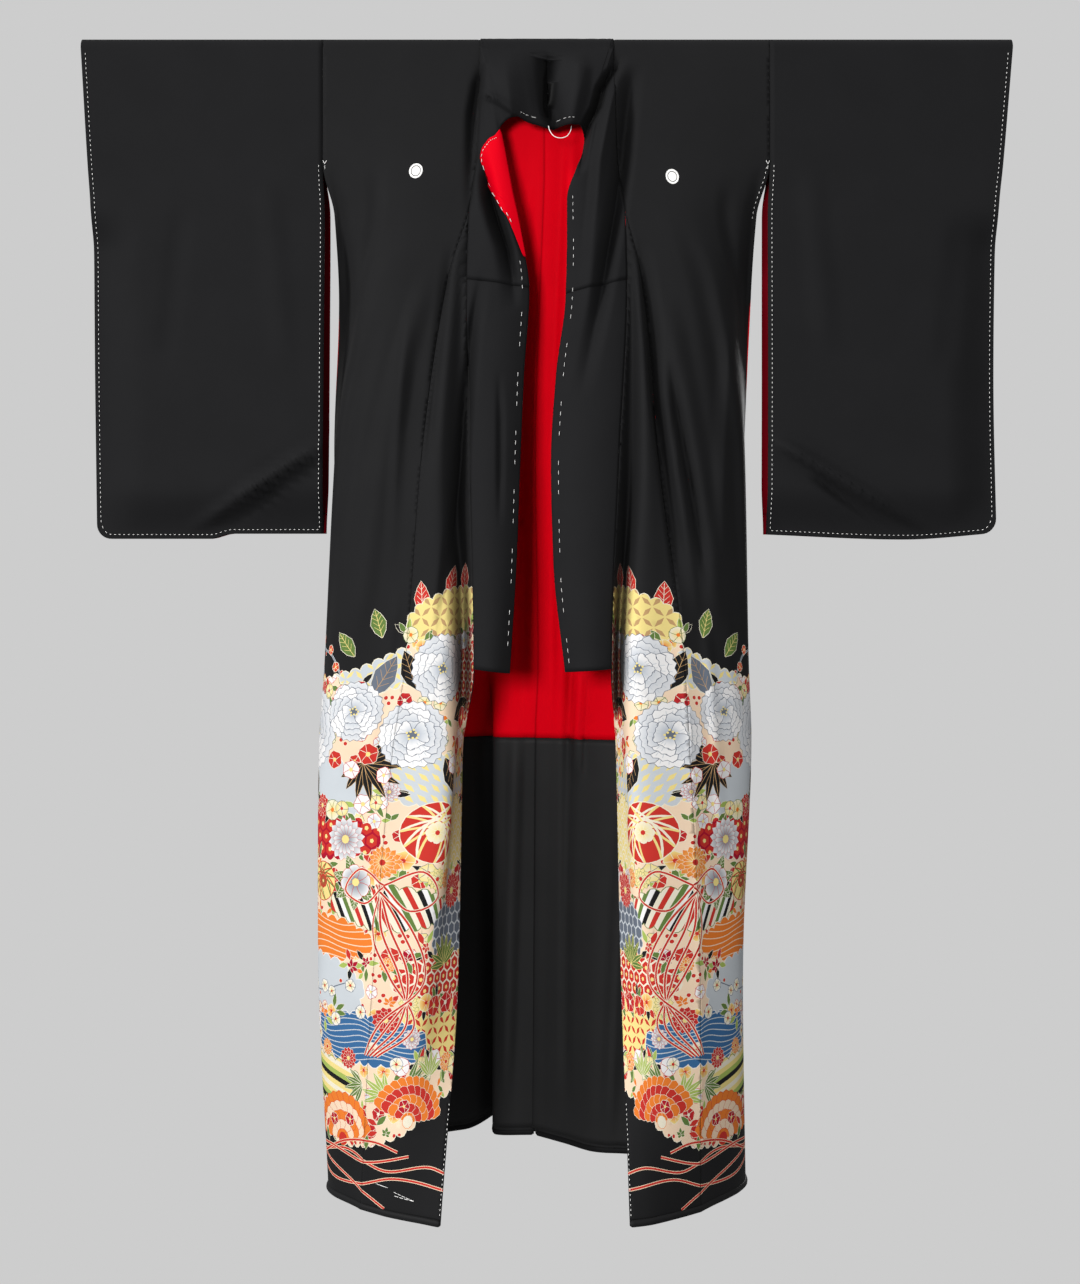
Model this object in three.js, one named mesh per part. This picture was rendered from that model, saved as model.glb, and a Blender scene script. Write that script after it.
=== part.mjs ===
// Tomesode kimono hung open on a plain rod that runs through its sleeves. Millimetres.
// +X is the viewer's right, -Y is the front, +Z is up. The origin is the middle of the rod.
// Each wall is worked out from flat cloth places: u runs across the garment from the centre back (0)
// by the side seam (300) to the overlap seam (540) and its front edge (690), and z is the height.
// In every table x counts outward from the middle of the garment, on its own side.
import * as THREE from 'three';

// Rod and cloth
const ROD_RADIUS = 12;
const ROD_LENGTH = 1262;
const ROD_SIDES = 24;
const CREPE = 1.6;
const LINING = 1.1;
const GAP = 0.3;
const SEAM_SHARE = 0.35;
const SEAM_START = 1.9;
const FACET_SLACK = 0.3;
const LINING_SLACK = 0.25;
const UNDER_CREPE = CREPE / 2 + GAP + LINING / 2 + LINING_SLACK;
const RADIUS = ROD_RADIUS + GAP + CREPE / 2 + FACET_SLACK;
const BAND_RADIUS = RADIUS + 1;
const SHOULDER_ARC = RADIUS * Math.PI / 2;

// Flat cloth widths
const SIDE_SEAM = 300;
const OVERLAP_SEAM = 540;
const OVERLAP_WIDTH = 150;
const NECK_HALF = 90;
const NECK_DROP = 25;
const NECK_BEND_DROP = 23.6;
const NECK_U = 2 * SIDE_SEAM - NECK_HALF;

// Heights
const ARMHOLE_Z = -160;
const OVERLAP_TOP_Z = -230;
const COLLAR_END_Z = -848;
const LINING_SEAM_Z = -960;
const LINING_TOP_Z = -10;
const LINING_END_Z = -1560;
const WALL_END_Z = -1563;
const HEM_Z = -1573;

// Sleeve
const CUFF_Z = -217;
const SEAM_HALF = CREPE / 2 + GAP / 2;
const CLOSE_LENGTH = 60;
const CLOSE_WIDTH = 70;
const BACK_LAYER_REACH = 3.8;
const LINING_MARGIN = 0.012;
const LAYER_REACH_START = 60;
const FACING_COLUMNS = 2;
const FACING_TOP_DROP = 12;
const FACING_END = 0.96;

// Over-collar and the turned-out facing
const OVER_COLLAR = 1.2;
const OVER_COLLAR_END_Z = -322;
const OVER_COLLAR_STEP = CREPE / 2 + GAP + OVER_COLLAR / 2;
const TURNED_EDGE_RISE = 2;
const FACING_STEP = OVER_COLLAR_STEP + OVER_COLLAR / 2 + LINING / 2 + TURNED_EDGE_RISE;
const TURNED_COLUMNS = 4;
const TURNED_EDGE_SHARE = 0.995;

// Padded hem roll
const ROLL_HALF_HEIGHT = 4.7;
const ROLL_HALF_DEPTH = 3.2;
const ROLL_SIDES = 8;
const ROLL_MARGIN = 0.005;

// Where the walls have a row of points, as heights below the rod's level and angles over the rod
const SHOULDER_ANGLES = [0, 22.5, 45, 67.5, 90];
const BODY_HEIGHTS = [SHOULDER_ARC - NECK_BEND_DROP, SHOULDER_ARC - NECK_DROP, -40, -100, -160,
  -195, -230, -280, -330, -440, -560, -700, -800, -848, -900, LINING_SEAM_Z, -1050, -1150, -1250,
  -1350, -1460, WALL_END_Z];
const OVERLAP_HEIGHTS = [-237, -280, -330, -440, -560, -700, -800, -848, -875, -905, -960, -1050,
  -1150, -1250, -1350, -1460, WALL_END_Z];
const SLEEVE_SHARES = [0.05, 0.14, 0.24, 0.34, 0.44, 0.55, 0.66, 0.75, 0.82, 0.87, 0.91, 0.95, 0.98, 1];
const BODY_COLUMNS = 9;
const OVERLAP_COLUMNS = 6;
const SLEEVE_COLUMNS = 12;
const COLLAR_ROD_COLUMNS = 5;
const COLLAR_HANGING_COLUMNS = 4;
const COLLAR_ROD_LEAST = 0.25;

// Sections of the back: the place of each fold line, with x outward and y to the back
const BACK_PLACES = [0, 65, 110, 165, 300];
const LEFT_BACK = [
  // z, centre, fold, valley, middle, side
  [0, [0, RADIUS], [66, RADIUS], [112, RADIUS], [168, RADIUS], [306.4, RADIUS]],
  [-160, [0, 26], [66, 26], [112, 25], [166, 23], [306.4, 14]],
  [-230, [2, 34], [67, 34], [112, 33], [165, 30], [291, 14]],
  [-330, [6, 48], [70, 48], [112, 46], [160, 40], [288, 19]],
  [-560, [12, 82], [72, 82], [115, 80], [165, 74], [297, 43]],
  [-848, [8, 133], [72, 138], [95, 148], [145, 128], [297, 67]],
  [-960, [12, 150], [75, 158], [76, 180], [138, 152], [297, 84]],
  [-1250, [14, 205], [77, 212], [72, 244], [140, 218], [272, 128]],
  [HEM_Z, [17, 247], [79, 252], [73, 288], [147, 263], [245, 165]],
];
const RIGHT_BACK = [
  [0, [0, RADIUS], [66, RADIUS], [112, RADIUS], [168, RADIUS], [304.4, RADIUS]],
  [-160, [0, 26], [65, 26], [110, 25], [166, 23], [304.4, 14]],
  [-230, [-2, 34], [63, 33], [108, 32], [162, 29], [287, 14]],
  [-330, [-6, 48], [60, 45], [104, 43], [156, 38], [283, 19]],
  [-560, [-12, 82], [54, 76], [98, 72], [152, 66], [275, 43]],
  [-848, [-8, 133], [54, 118], [96, 108], [148, 100], [270, 73]],
  [-960, [-12, 150], [48, 130], [88, 116], [138, 108], [268, 88]],
  [-1250, [-14, 205], [38, 172], [74, 150], [122, 142], [255, 122]],
  [HEM_Z, [-17, 247], [32, 205], [66, 174], [112, 164], [246, 158]],
];

// Sections of the front, from the side seam to the overlap seam
const FRONT_PLACES = [SIDE_SEAM, 420, OVERLAP_SEAM];
const LEFT_FRONT = [
  // z, flank, hip, seam
  [0, [306.4, -RADIUS], [184, -RADIUS], [60, -RADIUS]],
  [-160, [306.4, -14], [196, -28], [88, -31]],
  [-230, [291, -10], [200, -36], [106, -38]],
  [-330, [288, 16.6], [228, -38], [136, -46]],
  [-560, [297, 40.6], [276, -30], [168, -60]],
  [-848, [297.6, 64.6], [298, -24], [190, -72]],
  [-960, [298, 81.6], [308, -18], [206, -78]],
  [-1250, [273.5, 126], [313, -5], [231, -82]],
  [HEM_Z, [246.6, 163], [303, 28], [250, -57]],
];
const RIGHT_FRONT = [
  [0, [304.4, -RADIUS], [182, -RADIUS], [60, -RADIUS]],
  [-160, [304.4, -14], [195, -28], [88, -31]],
  [-230, [287, -10], [197, -36], [106, -38]],
  [-330, [283, 16.6], [224, -38], [130, -46]],
  [-560, [275, 40.6], [258, -30], [150, -60]],
  [-848, [270.6, 70.6], [271, -22], [184, -72]],
  [-960, [269, 85.6], [276, -16], [190, -78]],
  [-1250, [256.2, 120], [268, -2], [203, -80]],
  [HEM_Z, [247.6, 156], [277, 38], [205, -66]],
];

// Sections of the overlap panel, as shares of its width from its seam to its front edge
const OVERLAP_PLACES = [0, 0.45, 0.75, 1];
const LEFT_OVERLAP = [
  // z, seam, ridge, hollow, edge
  [OVERLAP_TOP_Z, [106, -38], [106, -38], [106, -38], [106, -38]],
  [-330, [136, -46], [126, -49], [116, -42], [109, -44]],
  [-560, [168, -60], [140, -65], [120, -46], [104, -56]],
  [COLLAR_END_Z, [190, -72], [131, -80], [113, -34], [98, -70]],
  [-960, [206, -78], [130, -88], [121, -52], [115, -22]],
  [-1250, [231, -82], [160, -100], [138, -78], [119, -60]],
  [HEM_Z, [250, -57], [205, -88], [165, -108], [140, -121]],
];
const RIGHT_OVERLAP = [
  [OVERLAP_TOP_Z, [106, -38], [106, -38], [106, -38], [106, -38]],
  [-330, [130, -46], [122, -49], [114, -42], [108, -44]],
  [-560, [150, -60], [128, -66], [112, -44], [97, -56]],
  [COLLAR_END_Z, [184, -72], [112, -80], [97, -34], [86, -70]],
  [-960, [190, -78], [113, -88], [101, -52], [94, -22]],
  [-1250, [203, -80], [132, -98], [112, -78], [99, -60]],
  [HEM_Z, [205, -66], [168, -92], [135, -112], [108, -121]],
];

// The largest soft folds of the body cloth. Each runs from one place [u, z] to another and stands
// proud by its rise, or lies in where the rise is negative.
const FOLD_FADE = 0.25;
const FOLD_END_SHARE = 0.5;
const LEFT_FOLDS = [
  { face: -1, from: [500, -350], to: [470, -800], half: 26, rise: 6 },
  { face: -1, from: [430, -420], to: [400, -1000], half: 30, rise: -6 },
  { face: 1, from: [200, -300], to: [220, -1100], half: 30, rise: 7 },
  { face: 1, from: [140, -120], to: [150, -700], half: 28, rise: -5 },
];
const RIGHT_FOLDS = [
  { face: -1, from: [505, -380], to: [480, -760], half: 26, rise: 7 },
  { face: -1, from: [440, -300], to: [430, -900], half: 30, rise: -6 },
  { face: 1, from: [210, -250], to: [200, -1200], half: 30, rise: 7 },
  { face: 1, from: [120, -200], to: [130, -800], half: 28, rise: -5 },
];

// Where the back hem is caught up behind its deep fold, on the left
const HEM_LIFT = { place: 105, half: 45, height: 24, start: -1250 };

// The fold that runs down across each sleeve's front layer to its bottom, as x and z
const LEFT_SLEEVE_FOLD = { from: [313, -548], to: [492, -662], half: 26, rise: 9 };
const RIGHT_SLEEVE_FOLD = { from: [318, -540], to: [526, -662], half: 26, rise: 9 };

// Sleeve edges: inner edge of the front layer, outer edge, and how far apart the layers hang
const LEFT_SLEEVE = [
  { z: 0, inner: 307, outer: 637.6, half: RADIUS },
  { z: -160, inner: 307, outer: 628, half: 14 },
  { z: -230, inner: 303.4, outer: 623, half: 17 },
  { z: -450, inner: 304.8, outer: 621, half: 19 },
  { z: -680, inner: 307, outer: 618, half: 19 },
];
const RIGHT_SLEEVE = [
  { z: 0, inner: 305, outer: 637, half: RADIUS },
  { z: -160, inner: 305, outer: 623.5, half: 14 },
  { z: -230, inner: 301.3, outer: 616.5, half: 17 },
  { z: -450, inner: 301.5, outer: 613.5, half: 19 },
  { z: -680, inner: 301, outer: 618, half: 19 },
];
const LEFT_SLEEVE_BOTTOM = [
  { share: 0, z: -665 },
  { share: 0.4, z: -665 },
  { share: 0.5, z: -672 },
  { share: 1, z: -672 },
];
const RIGHT_SLEEVE_BOTTOM = [
  { share: 0, z: -666 },
  { share: 0.6, z: -673 },
  { share: 1, z: -664 },
];

// The collar's free edge, by the place of its seam: drop counts down the front from the shoulder
// line and is negative behind it. The band bulges forward between its seam and its edge.
const LEFT_COLLAR = [
  { drop: 868, x: 50, y: -64, z: -853, bulge: 12 },
  { drop: 721, x: 41, y: -58, z: -702, bulge: 10 },
  { drop: 581, x: 36, y: -50, z: -565, bulge: 10 },
  { drop: 461, x: 31, y: -46, z: -448, bulge: 9 },
  { drop: 351, x: 24, y: -42, z: -340, bulge: 8 },
  { drop: 251, x: 35, y: -43, z: -264, bulge: 8 },
  { drop: 171, x: 47, y: -43, z: -205, bulge: 8 },
  { drop: 101, x: 57, y: -41, z: -158, bulge: 8 },
  { drop: 46, x: 64, y: -39, z: -120, bulge: 8 },
  { drop: 10, x: 57, y: -37, z: -105, bulge: 8 },
  { drop: -10, x: 43, y: -35, z: -98, bulge: 9 },
  { drop: -20, x: 24, y: -33, z: -97, bulge: 10 },
  { drop: -25, x: 0, y: -30, z: -106, bulge: 6 },
];
const RIGHT_COLLAR = [
  { drop: 868, x: 24, y: -64, z: -851, bulge: 12 },
  { drop: 721, x: 8.5, y: -58, z: -705, bulge: 10 },
  { drop: 581, x: 5.3, y: -50, z: -570, bulge: 10 },
  { drop: 461, x: 12, y: -46, z: -452, bulge: 9 },
  { drop: 351, x: 25, y: -42, z: -348, bulge: 8 },
  { drop: 251, x: 27, y: -42, z: -268, bulge: 8 },
  { drop: 171, x: 27, y: -42, z: -214, bulge: 8 },
  { drop: 101, x: 38, y: -41, z: -176, bulge: 8 },
  { drop: 46, x: 49, y: -39, z: -146, bulge: 8 },
  { drop: 10, x: 51, y: -37, z: -122, bulge: 8 },
  { drop: -10, x: 43, y: -35, z: -100, bulge: 9 },
  { drop: -20, x: 24, y: -33, z: -100, bulge: 10 },
  { drop: -25, x: 0, y: -30, z: -106, bulge: 6 },
];
const ROD_DROPS = SHOULDER_ANGLES.map((angle) => THREE.MathUtils.degToRad(angle) * RADIUS);
const NECK_DROPS = [...ROD_DROPS.slice(1).reverse(), ...ROD_DROPS.map((drop) => -drop),
  -NECK_BEND_DROP, -NECK_DROP];
const OVER_COLLAR_DROPS = [SHOULDER_ARC - OVER_COLLAR_END_Z, 300, 251, 210, 171, 135, 101, 72, 46, 30,
  ...NECK_DROPS];
const COLLAR_DROPS = [868, 795, 721, 650, 581, 461, 400, ...OVER_COLLAR_DROPS];

// The turned-out facing at the left: how far it reaches back over the band from its free edge
const FACING = [
  { drop: 56, share: 0.94 },
  { drop: 80, share: 0.78 },
  { drop: 101, share: 0.62 },
  { drop: 130, share: 0.36 },
  { drop: 171, share: 0.12 },
  { drop: 190, share: 0.3 },
  { drop: 210, share: 0.58 },
  { drop: 251, share: 0.84 },
  { drop: 290, share: 0.95 },
];

const LEFT = {
  name: 'left', sign: -1, back: LEFT_BACK, front: LEFT_FRONT, overlap: LEFT_OVERLAP,
  sleeve: LEFT_SLEEVE, sleeveBottom: LEFT_SLEEVE_BOTTOM, collar: LEFT_COLLAR,
  folds: LEFT_FOLDS, hemLift: HEM_LIFT, sleeveFold: LEFT_SLEEVE_FOLD,
};
const RIGHT = {
  name: 'right', sign: 1, back: RIGHT_BACK, front: RIGHT_FRONT, overlap: RIGHT_OVERLAP,
  sleeve: RIGHT_SLEEVE, sleeveBottom: RIGHT_SLEEVE_BOTTOM, collar: RIGHT_COLLAR,
  folds: RIGHT_FOLDS, hemLift: null, sleeveFold: RIGHT_SLEEVE_FOLD,
};

const CREPE_BLACK = new THREE.MeshStandardMaterial({ color: 0x242424, roughness: 0.85 });
const COLLAR_BLACK = new THREE.MeshStandardMaterial({ color: 0x2b2b2c, roughness: 0.85 });
const HEM_BLACK = new THREE.MeshStandardMaterial({ color: 0x1c1c1d, roughness: 0.9 });
const SILK_RED = new THREE.MeshStandardMaterial({ color: 0xc3001c, roughness: 0.6 });
const ROD_WOOD = new THREE.MeshStandardMaterial({ color: 0xb8a184, roughness: 0.6 });

const mix = (a, b, t) => a + (b - a) * t;
const clamp = (t, margin = 0) => Math.min(1 - margin, Math.max(margin, t));
const ease = (t) => clamp(t) ** 2 * (3 - 2 * clamp(t));

// Cubic curve through values at rising keys. A steady one never overshoots its values.
function curveAt(keys, values, key, steady) {
  const last = keys.length - 1;
  const step = (i) => keys[i + 1] - keys[i];
  const rise = (i) => (values[i + 1] - values[i]) / step(i);
  const slope = (i) => {
    if (i === 0) return rise(0);
    if (i === last) return rise(last - 1);
    const before = rise(i - 1);
    const after = rise(i);
    if (!steady) return (before * step(i) + after * step(i - 1)) / (step(i) + step(i - 1));
    return before * after > 0 ? 2 * before * after / (before + after) : 0;
  };
  let k = 0;
  while (k < last - 1 && key > keys[k + 1]) k += 1;
  const h = step(k);
  const t = clamp((key - keys[k]) / h);
  const past = key - keys[k] - t * h;
  const value = values[k] * (1 + 2 * t) * (1 - t) ** 2 + values[k + 1] * t * t * (3 - 2 * t)
    + slope(k) * h * t * (1 - t) ** 2 - slope(k + 1) * h * t * t * (1 - t);
  return value + past * slope(past < 0 ? k : k + 1);
}

// One point of a horizontal section: [x outward, y]
function sectionPoint(rows, places, place, z) {
  const depths = rows.map((row) => -row[0]);
  return [0, 1].map((axis) => {
    const stations = places.map((_, k) => {
      const values = rows.map((row) => row[k + 1][axis]);
      return curveAt(depths, values, -z, true);
    });
    return curveAt(places, stations, place, false);
  });
}

// A named value of a table at one of its keys. The key rises down the table with sign 1, falls with -1.
const tableValue = (rows, name, key, sign, at) => {
  const keys = rows.map((row) => sign * row[key]);
  const values = rows.map((row) => row[name]);
  return curveAt(keys, values, sign * at, true);
};
const byShare = (rows, name, share) => tableValue(rows, name, 'share', 1, share);
const byDepth = (rows, name, z) => tableValue(rows, name, 'z', -1, z);
const byDrop = (rows, name, drop) => tableValue(rows, name, 'drop', -1, drop);

// How far a soft fold stands out at a place: full on its line, fading to its sides and ends
function foldRise(fold, across, along) {
  const way = (along - fold.from[1]) / (fold.to[1] - fold.from[1]);
  const line = mix(fold.from[0], fold.to[0], way);
  const aside = ease(1 - Math.abs(across - line) / fold.half);
  const start = ease(way / FOLD_FADE + FOLD_END_SHARE);
  const end = ease((1 - way) / FOLD_FADE + FOLD_END_SHARE);
  return fold.rise * aside * start * end;
}

// The lift of the hem behind the deep fold
function hemRise(side, face, u, z) {
  if (!side.hemLift || face < 0) return 0;
  const { place, half, height, start } = side.hemLift;
  return height * ease(1 - Math.abs(u - place) / half) * ease((z - start) / (HEM_Z - start));
}

// A point of the body cloth. drop is the way down from the top of the rod, face -1 front, 1 back.
function bodyPoint(side, face, u, drop) {
  const z = Math.min(0, SHOULDER_ARC - drop);
  const rows = face < 0 ? side.front : side.back;
  const [x, y] = sectionPoint(rows, face < 0 ? FRONT_PLACES : BACK_PLACES, u, z);
  if (drop >= SHOULDER_ARC) {
    const folds = side.folds.filter((fold) => fold.face === face);
    const proud = folds.reduce((sum, fold) => sum + foldRise(fold, u, z), 0);
    return new THREE.Vector3(side.sign * x, y + face * proud, z + hemRise(side, face, u, z));
  }
  const angle = drop / RADIUS;
  return new THREE.Vector3(side.sign * x, face * RADIUS * Math.sin(angle), RADIUS * Math.cos(angle));
}

// The inner edge of the body cloth: neck and collar seam in front, neckline and centre seam behind
function innerEdge(face, drop) {
  const z = SHOULDER_ARC - drop;
  if (face < 0) return mix(NECK_U, OVERLAP_SEAM, clamp(z / OVERLAP_TOP_Z)) - SEAM_SHARE;
  const round = Math.sqrt(Math.max(0, 1 - (drop / NECK_DROP) ** 2));
  return NECK_HALF * round + SEAM_SHARE;
}

// The closed wall of an open sheet: its points moved half the cloth's thickness to either side
function wall(grid, thickness) {
  const rows = grid.length;
  const columns = grid[0].length;
  const points = [];
  [1, -1].forEach((turn) => grid.forEach((row, i) => row.forEach((point, j) => {
    const along = grid[Math.min(i + 1, rows - 1)][j].clone().sub(grid[Math.max(i - 1, 0)][j]);
    const across = row[Math.min(j + 1, columns - 1)].clone().sub(row[Math.max(j - 1, 0)]);
    const normal = along.cross(across).normalize();
    points.push(point.clone().addScaledVector(normal, turn * thickness / 2));
  })));
  const half = rows * columns;
  const at = (i, j, layer) => layer * half + i * columns + j;
  const faces = [];
  const quad = (a, b, c, d) => faces.push(a, b, c, a, c, d);
  for (let i = 0; i < rows - 1; i += 1) {
    for (let j = 0; j < columns - 1; j += 1) {
      quad(at(i, j, 0), at(i + 1, j, 0), at(i + 1, j + 1, 0), at(i, j + 1, 0));
      quad(at(i, j, 1), at(i, j + 1, 1), at(i + 1, j + 1, 1), at(i + 1, j, 1));
    }
    quad(at(i, 0, 0), at(i, 0, 1), at(i + 1, 0, 1), at(i + 1, 0, 0));
    const end = columns - 1;
    quad(at(i, end, 0), at(i + 1, end, 0), at(i + 1, end, 1), at(i, end, 1));
  }
  for (let j = 0; j < columns - 1; j += 1) {
    quad(at(0, j, 0), at(0, j + 1, 0), at(0, j + 1, 1), at(0, j, 1));
    const end = rows - 1;
    quad(at(end, j, 0), at(end, j, 1), at(end, j + 1, 1), at(end, j + 1, 0));
  }
  return closedGeometry(points, faces);
}

// A closed rod of rings with flat ends
function ringRod(rings) {
  const sides = rings[0].length;
  const points = rings.flat();
  const faces = [];
  const at = (i, k) => i * sides + (k % sides);
  for (let i = 0; i < rings.length - 1; i += 1) {
    for (let k = 0; k < sides; k += 1) {
      faces.push(at(i, k), at(i + 1, k), at(i + 1, k + 1), at(i, k), at(i + 1, k + 1), at(i, k + 1));
    }
  }
  const end = rings.length - 1;
  for (let k = 1; k < sides - 1; k += 1) {
    faces.push(at(0, 0), at(0, k), at(0, k + 1), at(end, 0), at(end, k + 1), at(end, k));
  }
  return closedGeometry(points, faces);
}

// Turns the faces outward where the volume comes out negative
function closedGeometry(points, faces) {
  let volume = 0;
  for (let f = 0; f < faces.length; f += 3) {
    const [a, b, c] = [points[faces[f]], points[faces[f + 1]], points[faces[f + 2]]];
    volume += a.dot(b.clone().cross(c));
  }
  if (volume < 0) faces.reverse();
  const geometry = new THREE.BufferGeometry().setFromPoints(points);
  geometry.setIndex(faces);
  geometry.computeVertexNormals();
  return geometry;
}

// The drops at which a cloth that goes over the rod has its rows, from front hem to back hem
function dropsOverRod(heights) {
  const half = [...ROD_DROPS, ...heights.map((z) => SHOULDER_ARC - z)];
  return [...half.slice(1).reverse().map((drop) => [-1, drop]), ...half.map((drop) => [1, drop])];
}

const steps = (count) => Array.from({ length: count + 1 }, (_, k) => k / count);

function bodyGrid(side) {
  return dropsOverRod(BODY_HEIGHTS).map(([face, drop]) => steps(BODY_COLUMNS).map((share) => (
    bodyPoint(side, face, mix(innerEdge(face, drop), SIDE_SEAM, share), drop)
  )));
}

function overlapPoint(side, share, z) {
  const [x, y] = sectionPoint(side.overlap, OVERLAP_PLACES, share, z);
  return new THREE.Vector3(side.sign * x, y, z);
}

function overlapGrid(side) {
  return OVERLAP_HEIGHTS.map((z) => {
    const width = OVERLAP_WIDTH * clamp((OVERLAP_TOP_Z - z) / (OVERLAP_TOP_Z - COLLAR_END_Z));
    const start = 2 * SEAM_SHARE / width;
    return steps(OVERLAP_COLUMNS).map((share) => overlapPoint(side, mix(start, 1, share), z));
  });
}

// The seam that the collar is sewn to, down the front edge or round the neckline
function collarSeam(side, drop) {
  const z = SHOULDER_ARC - drop;
  if (z < OVERLAP_TOP_Z) return overlapPoint(side, 1, z);
  const face = drop < 0 ? 1 : -1;
  return bodyPoint(side, face, innerEdge(face, Math.abs(drop)), Math.abs(drop));
}

// A point of the collar band, at a share of the way from its seam to its free edge
function collarPoint(side, drop, share) {
  const seam = collarSeam(side, drop);
  const edge = { x: side.sign * byDrop(side.collar, 'x', drop), y: byDrop(side.collar, 'y', drop) };
  const bulge = byDrop(side.collar, 'bulge', drop);
  const edgeZ = byDrop(side.collar, 'z', drop);
  const onRod = Math.max(0, SHOULDER_ARC - drop);
  const startY = onRod > 0 ? -BAND_RADIUS : seam.y;
  const startZ = onRod > 0 ? 0 : seam.z;
  const hanging = Math.hypot(edge.x - seam.x, edge.y - startY, edgeZ - startZ);
  const length = onRod + hanging;
  const way = mix(SEAM_START, length, share);
  const x = mix(seam.x, edge.x, way / length);
  if (way < onRod) {
    const angle = (way - onRod) / RADIUS;
    return new THREE.Vector3(x, -BAND_RADIUS * Math.cos(angle), -BAND_RADIUS * Math.sin(angle));
  }
  const down = (way - onRod) / hanging;
  const forward = bulge * 4 * down * (1 - down);
  return new THREE.Vector3(x, mix(startY, edge.y, down) - forward, mix(startZ, edgeZ, down));
}

// Where the band's rows have their points: close together where it goes over the rod
function collarShares(side, drop) {
  const onRod = Math.max(0, SHOULDER_ARC - drop);
  const hanging = -byDrop(side.collar, 'z', drop);
  const bend = Math.max(COLLAR_ROD_LEAST, onRod / (onRod + hanging));
  return [
    ...steps(COLLAR_ROD_COLUMNS).map((part) => mix(0, bend, part)),
    ...steps(COLLAR_HANGING_COLUMNS).slice(1).map((part) => mix(bend, 1, part)),
  ];
}

// The collar rows run down the left front, round the neck and down the right front
function collarGrid() {
  const rows = (side) => COLLAR_DROPS.map((drop) => (
    collarShares(side, drop).map((share) => collarPoint(side, drop, share))
  ));
  return [...rows(LEFT), ...rows(RIGHT).reverse()];
}

// Moves a sheet along its own normals
function movedOut(grid, distance) {
  return grid.map((row, i) => row.map((point, j) => {
    const along = grid[Math.min(i + 1, grid.length - 1)][j].clone().sub(grid[Math.max(i - 1, 0)][j]);
    const across = row[Math.min(j + 1, row.length - 1)].clone().sub(row[Math.max(j - 1, 0)]);
    return point.clone().addScaledVector(along.cross(across).normalize(), distance);
  }));
}

function facingGrid() {
  return FACING.map(({ drop, share }) => (
    steps(TURNED_COLUMNS).map((part) => (
      collarPoint(LEFT, drop, mix(share, TURNED_EDGE_SHARE, part))
    ))
  ));
}

// The back's lining follows the back's own points, a little short of its seams
function backLiningGrid(side, top, bottom) {
  const between = BODY_HEIGHTS.filter((z) => z < top - GAP && z > bottom + GAP);
  return [top, ...between, bottom].map((z) => steps(BODY_COLUMNS).map((share) => (
    bodyPoint(side, 1, mix(SEAM_SHARE, SIDE_SEAM, clamp(share, LINING_MARGIN)), SHOULDER_ARC - z)
  )));
}

// The sleeve's front layer (-1) and back layer (1), share 0 at the inner edge and 1 at the cuff
function sleevePoint(side, face, share, down) {
  const bottom = byShare(side.sleeveBottom, 'z', share);
  const z = down * bottom;
  const reach = face > 0 ? BACK_LAYER_REACH * ease((ARMHOLE_Z - z) / LAYER_REACH_START) : 0;
  const inner = byDepth(side.sleeve, 'inner', z) - reach;
  const outer = byDepth(side.sleeve, 'outer', z);
  const belowCuff = ease((CUFF_Z - z) / CLOSE_LENGTH);
  const fromCuffEdge = ease((1 - share) * (outer - inner) / CLOSE_WIDTH);
  const fromBottom = ease((z - bottom) / CLOSE_WIDTH);
  const open = (1 - belowCuff * (1 - fromCuffEdge)) * fromBottom;
  const half = mix(SEAM_HALF, byDepth(side.sleeve, 'half', z), open);
  const x = mix(inner, outer, share);
  const proud = face < 0 ? foldRise(side.sleeveFold, x, z) * fromBottom : 0;
  return new THREE.Vector3(side.sign * x, face * (half + proud), z);
}

function sleeveTopPoint(side, share, angle) {
  const inner = byDepth(side.sleeve, 'inner', 0);
  const outer = byDepth(side.sleeve, 'outer', 0);
  const turn = THREE.MathUtils.degToRad(angle);
  const x = side.sign * mix(inner, outer, share);
  return new THREE.Vector3(x, RADIUS * Math.sin(turn), RADIUS * Math.cos(turn));
}

function sleeveGrid(side) {
  const shares = steps(SLEEVE_COLUMNS);
  const layer = (face) => SLEEVE_SHARES.map((down) => (
    shares.map((share) => sleevePoint(side, face, share, down))
  ));
  const angles = [...SHOULDER_ANGLES.slice(1).reverse().map((angle) => -angle), ...SHOULDER_ANGLES];
  const top = angles.map((angle) => (
    shares.map((share) => sleeveTopPoint(side, share, angle))
  ));
  return [...layer(-1).reverse(), ...top, ...layer(1)];
}

// The sleeve's lining follows the back layer's own points near the open inner edge
function sleeveLiningGrid(side) {
  const start = (ARMHOLE_Z - FACING_TOP_DROP) / side.sleeveBottom[0].z;
  const downs = [start, ...SLEEVE_SHARES.filter((down) => down > start && down < FACING_END)];
  const shares = steps(SLEEVE_COLUMNS).slice(0, FACING_COLUMNS + 1);
  return downs.map((down) => shares.map((share) => sleevePoint(side, 1, share, down)));
}

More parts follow.
